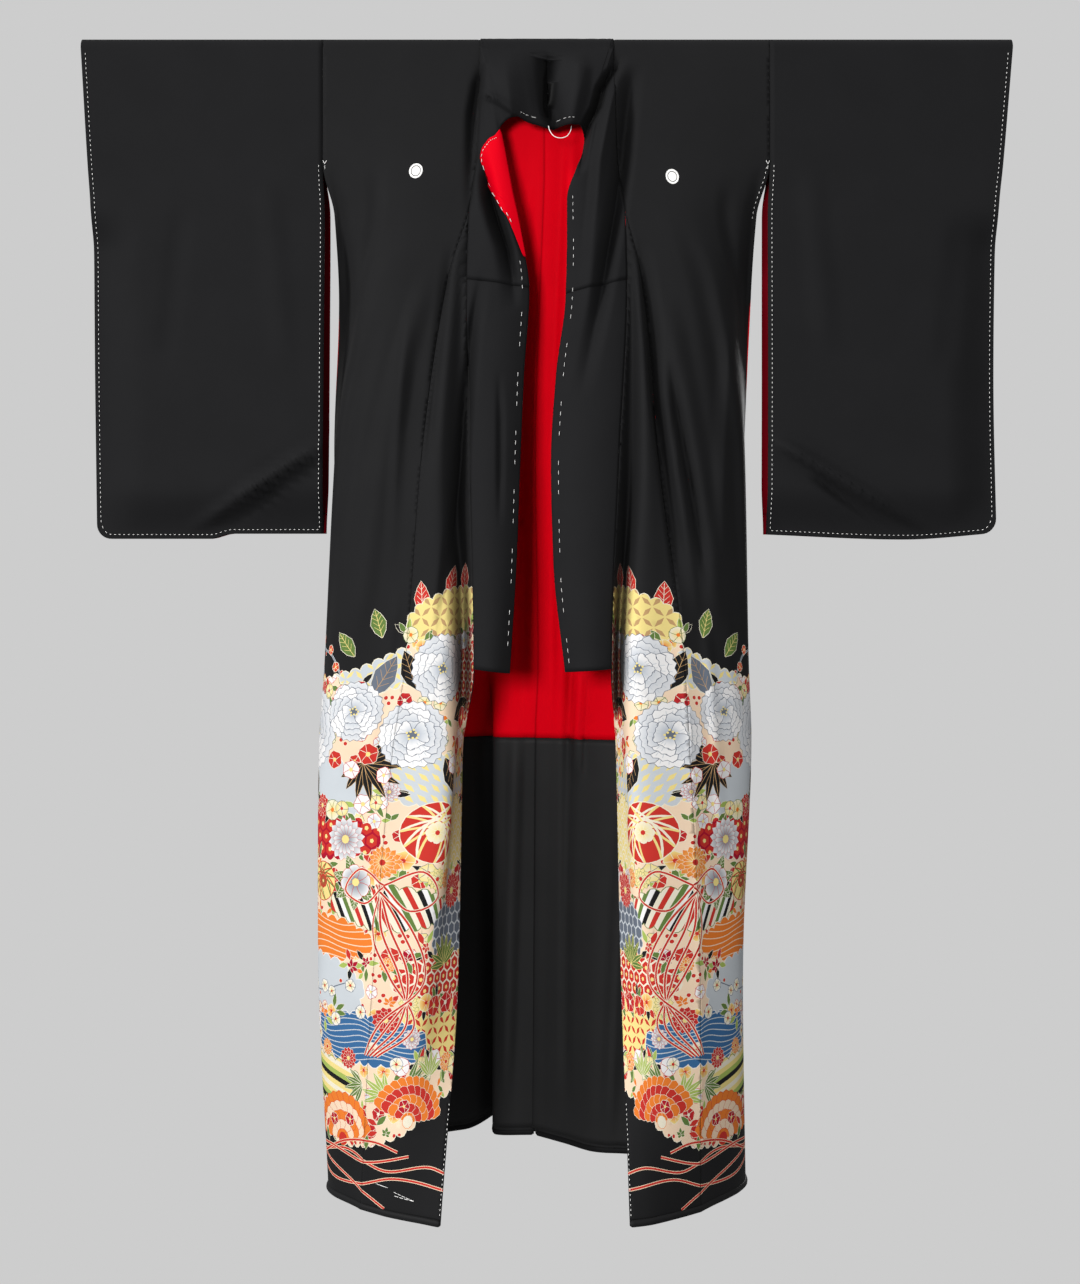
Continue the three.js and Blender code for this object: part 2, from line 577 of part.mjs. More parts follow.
// The padded roll along the hem, from the centre back round the side to the overlap's front edge
function hemRoll(side) {
  const hemPoint = (face, start, end) => (part) => (
    bodyPoint(side, face, mix(start, end, Math.max(part, ROLL_MARGIN)), SHOULDER_ARC - HEM_Z)
  );
  const back = steps(BODY_COLUMNS).map(hemPoint(1, SEAM_SHARE, SIDE_SEAM));
  const front = steps(BODY_COLUMNS).slice(1).map(hemPoint(-1, SIDE_SEAM, OVERLAP_SEAM));
  const overlap = steps(OVERLAP_COLUMNS).slice(1).map((part) => overlapPoint(side, part, HEM_Z));
  const path = [...back, ...front, ...overlap];
  return ringRod(path.map((point, i) => {
    const ahead = path[Math.min(i + 1, path.length - 1)].clone().sub(path[Math.max(i - 1, 0)]);
    const across = new THREE.Vector3(ahead.y, -ahead.x, 0).normalize();
    return Array.from({ length: ROLL_SIDES }, (_, k) => {
      const turn = 2 * Math.PI * k / ROLL_SIDES;
      const spot = point.clone().addScaledVector(across, ROLL_HALF_DEPTH * Math.cos(turn));
      return spot.setZ(point.z + ROLL_HALF_HEIGHT * (1 + Math.sin(turn)));
    });
  }));
}

const kimono = new THREE.Group();

function addPiece(name, geometry, material) {
  const piece = new THREE.Mesh(geometry, material);
  piece.name = name;
  kimono.add(piece);
  return piece;
}

function addSide(side) {
  const inward = side.sign * UNDER_CREPE;
  addPiece(`body_${side.name}`, wall(bodyGrid(side), CREPE), CREPE_BLACK);
  addPiece(`okumi_${side.name}`, wall(overlapGrid(side), CREPE), CREPE_BLACK);
  addPiece(`sleeve_${side.name}`, wall(sleeveGrid(side), CREPE), CREPE_BLACK);
  const upper = backLiningGrid(side, LINING_TOP_Z, LINING_SEAM_Z + GAP);
  const lower = backLiningGrid(side, LINING_SEAM_Z - GAP, LINING_END_Z);
  addPiece(`back_lining_${side.name}`, wall(movedOut(upper, inward), LINING), SILK_RED);
  addPiece(`hem_lining_${side.name}`, wall(movedOut(lower, inward), LINING), HEM_BLACK);
  const facing = movedOut(sleeveLiningGrid(side), inward);
  addPiece(`sleeve_lining_${side.name}`, wall(facing, LINING), SILK_RED);
  addPiece(`hem_roll_${side.name}`, hemRoll(side), HEM_BLACK);
}

function addCollar() {
  const band = collarGrid();
  addPiece('collar', wall(band, CREPE), COLLAR_BLACK);
  const below = COLLAR_DROPS.length - OVER_COLLAR_DROPS.length;
  const over = movedOut(band, -OVER_COLLAR_STEP).slice(below, band.length - below);
  addPiece('over_collar', wall(over, OVER_COLLAR), COLLAR_BLACK);
  addPiece('collar_lining_left', wall(movedOut(facingGrid(), FACING_STEP), LINING), SILK_RED);
}

function addRod() {
  const round = new THREE.CylinderGeometry(ROD_RADIUS, ROD_RADIUS, ROD_LENGTH, ROD_SIDES);
  const rod = addPiece('rod', round, ROD_WOOD);
  rod.rotation.z = Math.PI / 2;
}

addRod();
addSide(LEFT);
addSide(RIGHT);
addCollar();

export default kimono;
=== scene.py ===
"""Looks of the tomesode kimono on its rod: cloth, lining, print, stitches, light and camera.

Lengths are in millimetres until a mesh is made. +X is the viewer's right, -Y the front and +Z up.
Each panel has flat cloth places: u runs across the garment from the centre back (0) by the side
seam (300) to the overlap seam (540) and its front edge (690), and h is the height above the hem.
"""

import math
import random

import bpy
import numpy as np
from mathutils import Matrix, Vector, geometry

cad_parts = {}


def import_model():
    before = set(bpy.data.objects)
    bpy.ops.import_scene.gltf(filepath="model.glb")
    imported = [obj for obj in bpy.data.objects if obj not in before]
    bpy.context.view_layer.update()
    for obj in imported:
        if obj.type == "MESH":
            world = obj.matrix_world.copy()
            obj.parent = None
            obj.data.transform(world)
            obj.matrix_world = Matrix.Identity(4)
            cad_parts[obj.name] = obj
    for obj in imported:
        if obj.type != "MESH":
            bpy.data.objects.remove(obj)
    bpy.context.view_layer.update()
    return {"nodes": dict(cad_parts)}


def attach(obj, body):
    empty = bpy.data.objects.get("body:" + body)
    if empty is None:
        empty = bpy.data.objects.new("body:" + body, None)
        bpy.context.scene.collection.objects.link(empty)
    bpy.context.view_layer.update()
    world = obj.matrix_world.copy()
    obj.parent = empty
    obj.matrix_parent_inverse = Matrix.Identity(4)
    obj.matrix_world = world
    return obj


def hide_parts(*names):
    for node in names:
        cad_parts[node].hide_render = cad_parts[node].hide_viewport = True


MM = 0.001

# Rod and cloth, as in the part's source
ROD_RADIUS = 12
GAP = 0.3
CREPE = 1.6
LINING = 1.1
FACET_SLACK = 0.3
LINING_SLACK = 0.25
SEAM_SHARE = 0.35
SEAM_START = 0.3
UNDER_CREPE = CREPE / 2 + GAP + LINING / 2 + LINING_SLACK
RADIUS = ROD_RADIUS + GAP + CREPE / 2 + FACET_SLACK
BAND_RADIUS = RADIUS + 0.95
SHOULDER_ARC = RADIUS * math.pi / 2
SIDE_SEAM = 300
OVERLAP_SEAM = 540
OVERLAP_WIDTH = 150
NECK_HALF = 90
NECK_DROP = 25
NECK_U = 2 * SIDE_SEAM - NECK_HALF
ARMHOLE_Z = -160
OVERLAP_TOP_Z = -230
OVERLAP_START_Z = -231.5
COLLAR_END_Z = -848
LINING_SEAM_Z = -960
LINING_TOP_Z = -10
LINING_END_Z = -1560
WALL_END_Z = -1567
HEM_Z = -1573
CUFF_Z = -217
SEAM_HALF = CREPE / 2 + GAP / 2
CLOSE_LENGTH = 60
CLOSE_WIDTH = 70
BACK_LAYER_REACH = 3.8
LAYER_REACH_START = 60
COLLAR_SHELL = 0.7
OVER_COLLAR = 0.4
OVER_COLLAR_STEP = 0.65
OVER_COLLAR_END_Z = -322
FACING_STEP = 3.4
ROLL_HALF_HEIGHT = 4.7
ROLL_HALF_DEPTH = 3.2
COLLAR_WIDTH = 115

# The sleeve as one even strip, its rounded lower corner, and the lining at its open inner edge
SLEEVE_WIDTH = 325
SLEEVE_DEPTH = 668
SLEEVE_CORNER = 20
SLEEVE_LINING_SHARE = 1 / 6
SLEEVE_LINING_START = 172
SLEEVE_LINING_END = 0.96

# The thin cloth of this scene, and how far a printed panel's inside lies from its middle
SHELL = 1.1
LINING_SHELL = 0.8
INSIDE = 1.0
TOUCH = 0.05

# Mesh spacing. The folds above FINE_END_Z are finer, so the columns there are half as far apart.
MESH_STEP = 8.0
RIM_STEP = 9
FINE_END_Z = -860
PRINT_SEED = 3

BACK_PLACES = [0, 65, 110, 165, 300]
LEFT_BACK = [
    [0, [0, RADIUS], [66, RADIUS], [112, RADIUS], [168, RADIUS], [306.4, RADIUS]],
    [-160, [0, 26], [66, 26], [112, 25], [166, 23], [306.4, 14]],
    [-230, [2, 34], [67, 34], [112, 33], [165, 30], [291, 14]],
    [-330, [6, 48], [70, 48], [112, 46], [160, 40], [288, 19]],
    [-560, [12, 82], [72, 82], [115, 80], [165, 74], [297, 43]],
    [-848, [8, 133], [72, 138], [95, 148], [145, 128], [297, 67]],
    [-960, [12, 150], [75, 158], [76, 180], [138, 152], [297, 84]],
    [-1250, [14, 205], [77, 212], [72, 244], [140, 218], [272, 128]],
    [HEM_Z, [17, 247], [79, 252], [73, 288], [147, 263], [245, 165]],
]
RIGHT_BACK = [
    [0, [0, RADIUS], [66, RADIUS], [112, RADIUS], [168, RADIUS], [304.4, RADIUS]],
    [-160, [0, 26], [65, 26], [110, 25], [166, 23], [304.4, 14]],
    [-230, [-2, 34], [63, 33], [108, 32], [162, 29], [287, 14]],
    [-330, [-6, 48], [60, 45], [104, 43], [156, 38], [283, 19]],
    [-560, [-12, 82], [54, 76], [98, 72], [152, 66], [275, 43]],
    [-848, [-8, 133], [54, 118], [96, 108], [148, 100], [270, 73]],
    [-960, [-12, 150], [48, 130], [88, 116], [138, 108], [268, 88]],
    [-1250, [-14, 205], [38, 172], [74, 150], [122, 142], [255, 122]],
    [HEM_Z, [-17, 247], [32, 205], [66, 174], [112, 164], [246, 158]],
]
FRONT_PLACES = [SIDE_SEAM, 420, OVERLAP_SEAM]
LEFT_FRONT = [
    [0, [306.4, -RADIUS], [184, -RADIUS], [60, -RADIUS]],
    [-160, [306.4, -14], [196, -28], [88, -31]],
    [-230, [291, -10], [200, -36], [106, -38]],
    [-330, [287.6, 16.4], [228, -38], [136, -46]],
    [-560, [297, 42.6], [276, -30], [168, -60]],
    [-848, [297, 66.6], [298, -24], [190, -72]],
    [-960, [297, 83.6], [308, -18], [206, -78]],
    [-1250, [272, 127.6], [313, -5], [231, -82]],
    [HEM_Z, [245, 164.6], [303, 28], [250, -57]],
]
RIGHT_FRONT = [
    [0, [304.4, -RADIUS], [182, -RADIUS], [60, -RADIUS]],
    [-160, [304.4, -14], [195, -28], [88, -31]],
    [-230, [287, -10], [197, -36], [106, -38]],
    [-330, [282.6, 16.4], [224, -38], [130, -46]],
    [-560, [275, 42.6], [258, -30], [150, -60]],
    [-848, [270, 72.6], [271, -22], [184, -72]],
    [-960, [268, 87.6], [276, -16], [190, -78]],
    [-1250, [255, 121.6], [268, -2], [203, -80]],
    [HEM_Z, [246, 157.6], [277, 38], [205, -66]],
]
OVERLAP_PLACES = [0, 0.45, 0.75, 1]
LEFT_OVERLAP = [
    [OVERLAP_TOP_Z, [106, -38], [106, -38], [106, -38], [106, -38]],
    [-330, [136, -46], [126, -49], [116, -42], [109, -44]],
    [-560, [168, -60], [140, -65], [120, -46], [104, -56]],
    [COLLAR_END_Z, [190, -72], [131, -80], [113, -34], [98, -70]],
    [-960, [206, -78], [130, -88], [121, -52], [115, -22]],
    [-1250, [231, -82], [160, -100], [138, -78], [119, -60]],
    [HEM_Z, [250, -57], [205, -88], [165, -108], [140, -121]],
]
RIGHT_OVERLAP = [
    [OVERLAP_TOP_Z, [106, -38], [106, -38], [106, -38], [106, -38]],
    [-330, [130, -46], [122, -49], [114, -42], [108, -44]],
    [-560, [150, -60], [128, -66], [112, -44], [97, -56]],
    [COLLAR_END_Z, [184, -72], [112, -80], [97, -34], [86, -70]],
    [-960, [190, -78], [113, -88], [101, -52], [94, -22]],
    [-1250, [203, -80], [132, -98], [112, -78], [99, -60]],
    [HEM_Z, [205, -66], [168, -92], [135, -112], [108, -121]],
]

# Soft folds of the body cloth: face, start and end as [u, z], half width, rise
LEFT_FOLDS = [
    (-1, (500, -350), (470, -800), 26, 6),
    (-1, (430, -420), (400, -1000), 30, -6),
    (1, (200, -300), (220, -1100), 30, 7),
    (1, (140, -120), (150, -700), 28, -5),
]
RIGHT_FOLDS = [
    (-1, (505, -380), (480, -760), 26, 7),
    (-1, (440, -300), (430, -900), 30, -6),
    (1, (210, -250), (200, -1200), 30, 7),
    (1, (120, -200), (130, -800), 28, -5),
]
HEM_LIFT = {"place": 105, "half": 45, "height": 24, "start": -1250}
LEFT_SLEEVE_FOLD = (-1, (313, -548), (492, -662), 26, 9)
RIGHT_SLEEVE_FOLD = (-1, (318, -540), (526, -662), 26, 9)

# Folds of the front as they look from there: what it is, width to its left and right, and
# keys of height, place across and how far it stands out
DRAPES = [
    # valley down the middle of the turned-over collar
    (9, 26, [
        (-7, -3, 0), (-16, 0, -10), (-46, 1, -20), (-80, 2.5, -24), (-117, 6.4, -20), (-138, 7.8, 0),
    ]),
    # soft puff left of it
    (34, 30, [
        (-7.5, -52.8, 0), (-46.6, -52.8, 8), (-80.4, -50.1, 9.6), (-114.1, -47.4, 6.4),
        (-141.1, -47.4, 0),
    ]),
    # puff right of it
    (24, 18, [
        (-7.5, 37.6, 0), (-33.1, 47.1, 9.6), (-66.9, 41.7, 12.8), (-104.6, 33.6, 9.6),
        (-141.1, 25.5, 0),
    ]),
    # curl at the collar's right end
    (12, 10, [
        (-18.3, 101, 0), (-39.9, 84.8, -14), (-60.1, 74.1, -28), (-87.1, 67.3, -32),
        (-110, 55.2, -28), (-147.8, 48.4, -16), (-181.6, 44.4, 0),
    ]),
    # ridge of the right collar
    (16, 26, [
        (-18.3, 109.1, 0), (-46.6, 95.6, 9.6), (-80.4, 87.5, 14.4), (-120.8, 79.4, 14.4),
        (-161.3, 71.4, 12.8), (-215.3, 67.3, 9.6), (-282.7, 60.6, 6.4), (-377.2, 52.5, 0),
    ]),
    # valley outside it
    (18, 20, [
        (-26.4, 117.2, 0), (-66.9, 110.5, -8), (-120.8, 105.1, -12.8), (-174.8, 99.7, -14.4),
        (-228.8, 91.6, -16), (-282.7, 82.1, -16), (-350.2, 71.4, -11.2), (-417.7, 57.9, -6.4),
        (-485.1, 44.4, 0),
    ]),
    # valley beside the left collar
    (12, 12, [
        (-23.7, -85.2, 0), (-53.4, -94.6, -11.2), (-93.9, -101.3, -14.4), (-134.3, -102.7, -9.6),
        (-188.3, -104, -4.8), (-242.3, -104, 0),
    ]),
    # hollow under the left free edge
    (22, 12, [
        (-147.8, -87.9, 0), (-181.6, -79.8, -16.8), (-215.3, -73, -26.4), (-249, -63.6, -28.8),
        (-282.7, -52.8, -19.2), (-323.2, -46, -9.6), (-363.7, -43.3, 0),
    ]),
    # slanting crease of the left collar
    (10, 22, [
        (-61.5, -95.9, 0), (-75, -77.1, 6.4), (-88.5, -56.8, 6.4), (-100.6, -39.3, 6.4),
        (-110, -28.5, 0),
    ]),
    # long fold left
    (10, 18, [
        (-309.7, -87.9, 0), (-390.7, -102.7, -9.6), (-485.1, -110.8, -14.4), (-593.1, -118.9, -14.4),
        (-674, -129.7, -12.8), (-755, -140.5, -6.4), (-822.4, -147.2, 0),
    ]),
    # soft fold left
    (14, 18, [
        (-269.2, -128.3, 0), (-336.7, -136.4, -6.4), (-431.2, -147.2, -8), (-512.1, -155.3, -6.4),
        (-593.1, -160.7, 0),
    ]),
    # fine fold left
    (7, 9, [
        (-444.6, -64.9, 0), (-512.1, -63.6, -4.8), (-579.6, -63.6, -4.8), (-660.5, -63.6, 0),
    ]),
    # finer fold left
    (12, 16, [
        (-350.2, -185, 0), (-458.1, -195.8, 6.4), (-579.6, -203.9, 6.4), (-728, -212, 0),
    ]),
    # long fold right
    (9, 24, [
        (-269.2, 122.6, 0), (-323.2, 129.4, -9.6), (-390.7, 136.1, -14.4), (-485.1, 142.9, -17.6),
        (-579.6, 155, -14.4), (-674, 167.1, -9.6), (-755, 176.6, 0),
    ]),
    # second fold right
    (9, 20, [
        (-431.2, 165.8, 0), (-498.6, 173.9, -9.6), (-593.1, 190.1, -12.8), (-667.3, 203.6, -9.6),
        (-741.5, 217.1, 0),
    ]),
    # ridge between
    (16, 14, [
        (-377.2, 149.6, 0), (-485.1, 157.7, 8), (-593.1, 175.2, 9.6), (-701, 192.8, 4.8),
        (-782, 203.6, 0),
    ]),
    # fold under the left armhole
    (12, 18, [
        (-161.3, -292.9, 0), (-228.8, -282.1, -6.4), (-350.2, -274, -6.4), (-485.1, -268.6, 0),
    ]),
    # fold under the right armhole
    (18, 12, [
        (-161.3, 292.6, 0), (-228.8, 281.8, -6.4), (-350.2, 273.7, -6.4), (-485.1, 268.3, 0),
    ]),
    # ridge at the right side
    (20, 20, [
        (-350.2, 249.4, 0), (-458.1, 244.1, 6.4), (-593.1, 238.7, 6.4), (-714.5, 236, 0),
    ]),
]

# Finer creases, which only the cloth has
LEFT_CREASES = [
    (-1, (380, -180), (360, -480), 22, -3),
    (-1, (520, -760), (500, -1020), 12, 3),
    (-1, (400, -900), (420, -1450), 24, 3.5),
    (-1, (340, -800), (345, -1400), 20, -3),
    (1, (250, -180), (240, -620), 18, -6),
    (1, (90, -260), (70, -820), 20, 6),
    (1, (30, -980), (40, -1480), 14, -8),
    (1, (180, -900), (190, -1500), 18, 8),
    (1, (26, -200), (24, -900), 16, 6),
    (1, (58, -120), (50, -620), 9, -3.5),
    (1, (34, -690), (92, -756), 14, -5),
    (1, (30, -716), (84, -786), 12, 4),
    (1, (30, -640), (50, -700), 12, 6),
]
RIGHT_CREASES = [
    (-1, (360, -200), (345, -420), 22, -3),
    (-1, (390, -880), (410, -1440), 24, 3.5),
    (-1, (335, -820), (340, -1380), 20, -3),
    (-1, (500, -800), (490, -1060), 14, 3),
    (1, (245, -200), (230, -640), 18, 6),
    (1, (80, -300), (95, -860), 20, -6),
    (1, (45, -760), (60, -1480), 16, 6),
    (1, (150, -960), (140, -1520), 18, -8),
    (1, (34, -140), (30, -880), 14, -8),
    (1, (54, -130), (58, -560), 8, 3),
    (1, (58, -870), (64, -1010), 10, -10),
    (1, (30, -700), (74, -776), 14, -4),
]
LEFT_SLEEVE_CREASES = [
    (-1, (500, -230), (520, -420), 24, -2.5),
    (-1, (380, -200), (360, -420), 26, 2.5),
    (-1, (330, -560), (500, -672), 15, 8),
    (-1, (372, -600), (452, -672), 14, -8),
    (1, (320, -520), (470, -660), 26, 7),
    (1, (450, -200), (430, -460), 26, -2.5),
]
RIGHT_SLEEVE_CREASES = [
    (-1, (330, -550), (534, -672), 15, 7),
    (-1, (372, -592), (484, -674), 14, -9),
    (-1, (560, -250), (545, -430), 24, -2.5),
    (-1, (360, -180), (380, -400), 26, 2.5),
    (1, (330, -530), (480, -662), 26, 7),
    (1, (520, -180), (540, -440), 26, 2.5),
]

# z, inner edge, outer edge, half the distance between the layers
LEFT_SLEEVE = [
    (0, 306.45, 637.6, RADIUS),
    (-160, 306.45, 628, 14),
    (-230, 303.4, 623, 17),
    (-450, 304.8, 621, 19),
    (-680, 307, 618, 19),
]
RIGHT_SLEEVE = [
    (0, 304.45, 637, RADIUS),
    (-160, 304.45, 623.5, 14),
    (-230, 301.3, 616.5, 17),
    (-450, 301.5, 613.5, 19),
    (-680, 301, 618, 19),
]
LEFT_SLEEVE_BOTTOM = [(0, -665), (0.4, -665), (0.5, -672), (1, -672)]
RIGHT_SLEEVE_BOTTOM = [(0, -666), (0.6, -673), (1, -664)]

# The collar's free edge by the place of its seam: drop, x, y, z, bulge
LEFT_COLLAR = [
    (868, 50, -64, -853, 12), (721, 41, -58, -702, 10), (581, 36, -50, -565, 10),
    (461, 31, -46, -448, 9), (351, 24, -42, -340, 8), (251, 35, -43, -264, 8),
    (171, 47, -43, -205, 8), (101, 57, -41, -158, 8), (46, 64, -39, -120, 8),
    (10, 56, -37, -108, 8), (-10, 41, -35, -102, 9), (-20, 27, -33, -108, 10), (-25, 0, -30, -114, 6),
]
RIGHT_COLLAR = [
    (868, 24, -64, -851, 12), (721, 8.5, -58, -705, 10), (581, 5.3, -50, -570, 10),
    (461, 12, -46, -452, 9), (351, 25, -42, -348, 8), (251, 27, -42, -268, 8),
    (171, 27, -42, -214, 8), (101, 38, -41, -176, 8), (46, 49, -39, -146, 8),
    (10, 51, -37, -126, 8), (-10, 44, -35, -112, 9), (-20, 24, -33, -112, 10), (-25, 0, -30, -114, 6),
]
FACING = [
    (56, 0.94), (80, 0.78), (101, 0.62), (130, 0.36), (171, 0.12),
    (190, 0.3), (210, 0.58), (251, 0.84), (290, 0.95),
]

LEFT = {
    "name": "left", "sign": -1, "back": LEFT_BACK, "front": LEFT_FRONT, "overlap": LEFT_OVERLAP,
    "sleeve": LEFT_SLEEVE, "bottom": LEFT_SLEEVE_BOTTOM, "collar": LEFT_COLLAR,
    "folds": LEFT_FOLDS, "lift": HEM_LIFT, "sleeve_fold": LEFT_SLEEVE_FOLD,
    "creases": LEFT_CREASES, "sleeve_creases": LEFT_SLEEVE_CREASES,
}
RIGHT = {
    "name": "right", "sign": 1, "back": RIGHT_BACK, "front": RIGHT_FRONT, "overlap": RIGHT_OVERLAP,
    "sleeve": RIGHT_SLEEVE, "bottom": RIGHT_SLEEVE_BOTTOM, "collar": RIGHT_COLLAR,
    "folds": RIGHT_FOLDS, "lift": None, "sleeve_fold": RIGHT_SLEEVE_FOLD,
    "creases": RIGHT_CREASES, "sleeve_creases": RIGHT_SLEEVE_CREASES,
}


def ease(t):
    t = np.clip(t, 0, 1)
    return t * t * (3 - 2 * t)


def curve(keys, values, at, steady=True):
    """Cubic curve through values at rising keys. A steady one never overshoots its values."""
    keys = np.asarray(keys, float)
    values = np.asarray(values, float)
    at = np.atleast_1d(np.asarray(at, float))
    if values.ndim == 1:
        values = values[:, None]
    gap = np.diff(keys)[:, None]
    rise = np.diff(values, axis=0) / gap
    before, after = rise[:-1], rise[1:]
    if steady:
        total = np.where(before + after == 0, 1, before + after)
        inner = np.where(before * after > 0, 2 * before * after / total, 0)
    else:
        inner = (before * gap[1:] + after * gap[:-1]) / (gap[1:] + gap[:-1])
    slope = np.concatenate([rise[:1], inner, rise[-1:]])
    k = np.searchsorted(keys[1:-1], at, side="left")
    lane = np.arange(at.size) if values.shape[1] > 1 else np.zeros(at.size, int)
    h = keys[k + 1] - keys[k]
    t = np.clip((at - keys[k]) / h, 0, 1)
    past = at - keys[k] - t * h
    start, end = slope[k, lane], slope[k + 1, lane]
    value = values[k, lane] * (1 + 2 * t) * (1 - t) ** 2 + values[k + 1, lane] * t * t * (3 - 2 * t)
    value += start * h * t * (1 - t) ** 2 - end * h * t * t * (1 - t)
    return value + past * np.where(past < 0, start, end)


def section(rows, places, place, z):
    """Points of horizontal sections: x outward and y."""
    depths = [-row[0] for row in rows]
    out = []
    for axis in (0, 1):
        stations = [
            curve(depths, [row[k + 1][axis] for row in rows], -z) for k in range(len(places))
        ]
        out.append(curve(places, np.array(stations), place, steady=False))
    return out


def fold_rise(fold, across, along):
    """How far a soft fold stands out at a place: full on its line, fading to its sides and ends."""
    _, start, end, half, rise = fold
    way = (along - start[1]) / (end[1] - start[1])
    line = start[0] + (end[0] - start[0]) * way
    aside = ease(1 - np.abs(across - line) / half)
    return rise * aside * ease(way / 0.25 + 0.5) * ease((1 - way) / 0.25 + 0.5)


def drape(x, z):
    """How far the front cloth stands out at a place of the front view."""
    total = np.zeros(np.broadcast(x, z).shape)
    for left, right, keys in DRAPES:
        drops = [-key[0] for key in keys]
        line = np.interp(-z, drops, [key[1] for key in keys])
        rise = np.interp(-z, drops, [key[2] for key in keys], left=0, right=0)
        near = np.clip(1 - np.abs(x - line) / np.where(x < line, left, right), 0, 1)
        total += rise * (ease(near) + near ** 2) / 2
    return total


def hem_rise(side, face, u, z):
    if not side["lift"] or face < 0:
        return 0
    lift = side["lift"]
    return (
        lift["height"]
        * ease(1 - np.abs(u - lift["place"]) / lift["half"])
        * ease((z - lift["start"]) / (HEM_Z - lift["start"]))
    )


def body_at(side, across, along):
    """Points of the body strip. across counts from the side seam; along counts back from the
    shoulder line, so the front is below 0."""
    across, along = np.broadcast_arrays(np.asarray(across, float), np.asarray(along, float))
    points = np.empty(across.shape + (3,))
    for face in (-1, 1):
        part = along < 0 if face < 0 else along >= 0
        if not part.any():
            continue
        u = SIDE_SEAM - face * across[part]
        drop = np.abs(along[part])
        z = np.minimum(0, SHOULDER_ARC - drop)
        rows, places = (side["front"], FRONT_PLACES) if face < 0 else (side["back"], BACK_PLACES)
        x, y = section(rows, places, u, z)
        folds = [*side["folds"], *side["creases"]]
        proud = sum(fold_rise(fold, u, z) for fold in folds if fold[0] == face)
        if face < 0:
            proud = proud + drape(side["sign"] * x, z)
        angle = np.minimum(drop / RADIUS, math.pi / 2)
        hanging = drop >= SHOULDER_ARC
        points[part] = np.stack([
            side["sign"] * x,
            np.where(hanging, y + face * proud, face * RADIUS * np.sin(angle)),
            np.where(hanging, z + hem_rise(side, face, u, z), RADIUS * np.cos(angle)),
        ], axis=-1)
    return points


def overlap_width(z):
    return OVERLAP_WIDTH * np.clip((OVERLAP_TOP_Z - z) / (OVERLAP_TOP_Z - COLLAR_END_Z), 1e-6, 1)


def overlap_at(side, across, z):
    """Points of the overlap panel. across counts from its seam."""
    across, z = np.broadcast_arrays(np.asarray(across, float), np.asarray(z, float))
    share = np.clip(across / overlap_width(z), 0, 1.02)
    x, y = section(side["overlap"], OVERLAP_PLACES, share.ravel(), z.ravel())
    proud = drape(side["sign"] * x, z.ravel())
    points = np.stack([side["sign"] * x, y - proud, z.ravel()], axis=-1)
    return points.reshape(across.shape + (3,))


def inner_edge(face, drop):
    z = SHOULDER_ARC - drop
    if face < 0:
        way = np.clip(z / OVERLAP_TOP_Z, 0, 1)
        return NECK_U + (OVERLAP_SEAM - NECK_U) * way - SEAM_SHARE
    return NECK_HALF * np.sqrt(np.clip(1 - (drop / NECK_DROP) ** 2, 0, 1)) + SEAM_SHARE


def collar_seam(side, drop):
    z = SHOULDER_ARC - drop
    if z < OVERLAP_TOP_Z:
        return overlap_at(side, overlap_width(z), z)
    face = 1 if drop < 0 else -1
    u = inner_edge(face, abs(drop))
    return body_at(side, face * (SIDE_SEAM - u), -abs(drop) if face < 0 else abs(drop))


def collar_row(side, drop, shares):
    """One row of the collar band, from its seam to its free edge."""
    seam = np.array(collar_seam(side, drop)).reshape(3)
    seam[1] += float(drape(seam[0], seam[2])) if drop > SHOULDER_ARC else 0.0
    drops = [-row[0] for row in side["collar"]]
    x, y, z, bulge = (
        float(curve(drops, [row[k] for row in side["collar"]], -drop)[0]) for k in (1, 2, 3, 4)
    )
    x *= side["sign"]
    on_rod = max(0.0, SHOULDER_ARC - drop)
    start_y, start_z = (-BAND_RADIUS, 0) if on_rod > 0 else (seam[1], seam[2])
    hanging = math.dist((x, y, z), (seam[0], start_y, start_z))
    length = on_rod + hanging
    way = SEAM_START + (length - SEAM_START) * np.asarray(shares)
    across = seam[0] + (x - seam[0]) * way / length
    angle = (way - on_rod) / RADIUS
    down = np.clip((way - on_rod) / hanging, 0, 1)
    rolled = way < on_rod
    height = np.where(rolled, -BAND_RADIUS * np.sin(angle), start_z + (z - start_z) * down)
    depth = start_y + (y - start_y) * down - bulge * 4 * down * (1 - down) - drape(across, height)
    return np.stack([across, np.where(rolled, -BAND_RADIUS * np.cos(angle), depth), height], axis=-1)


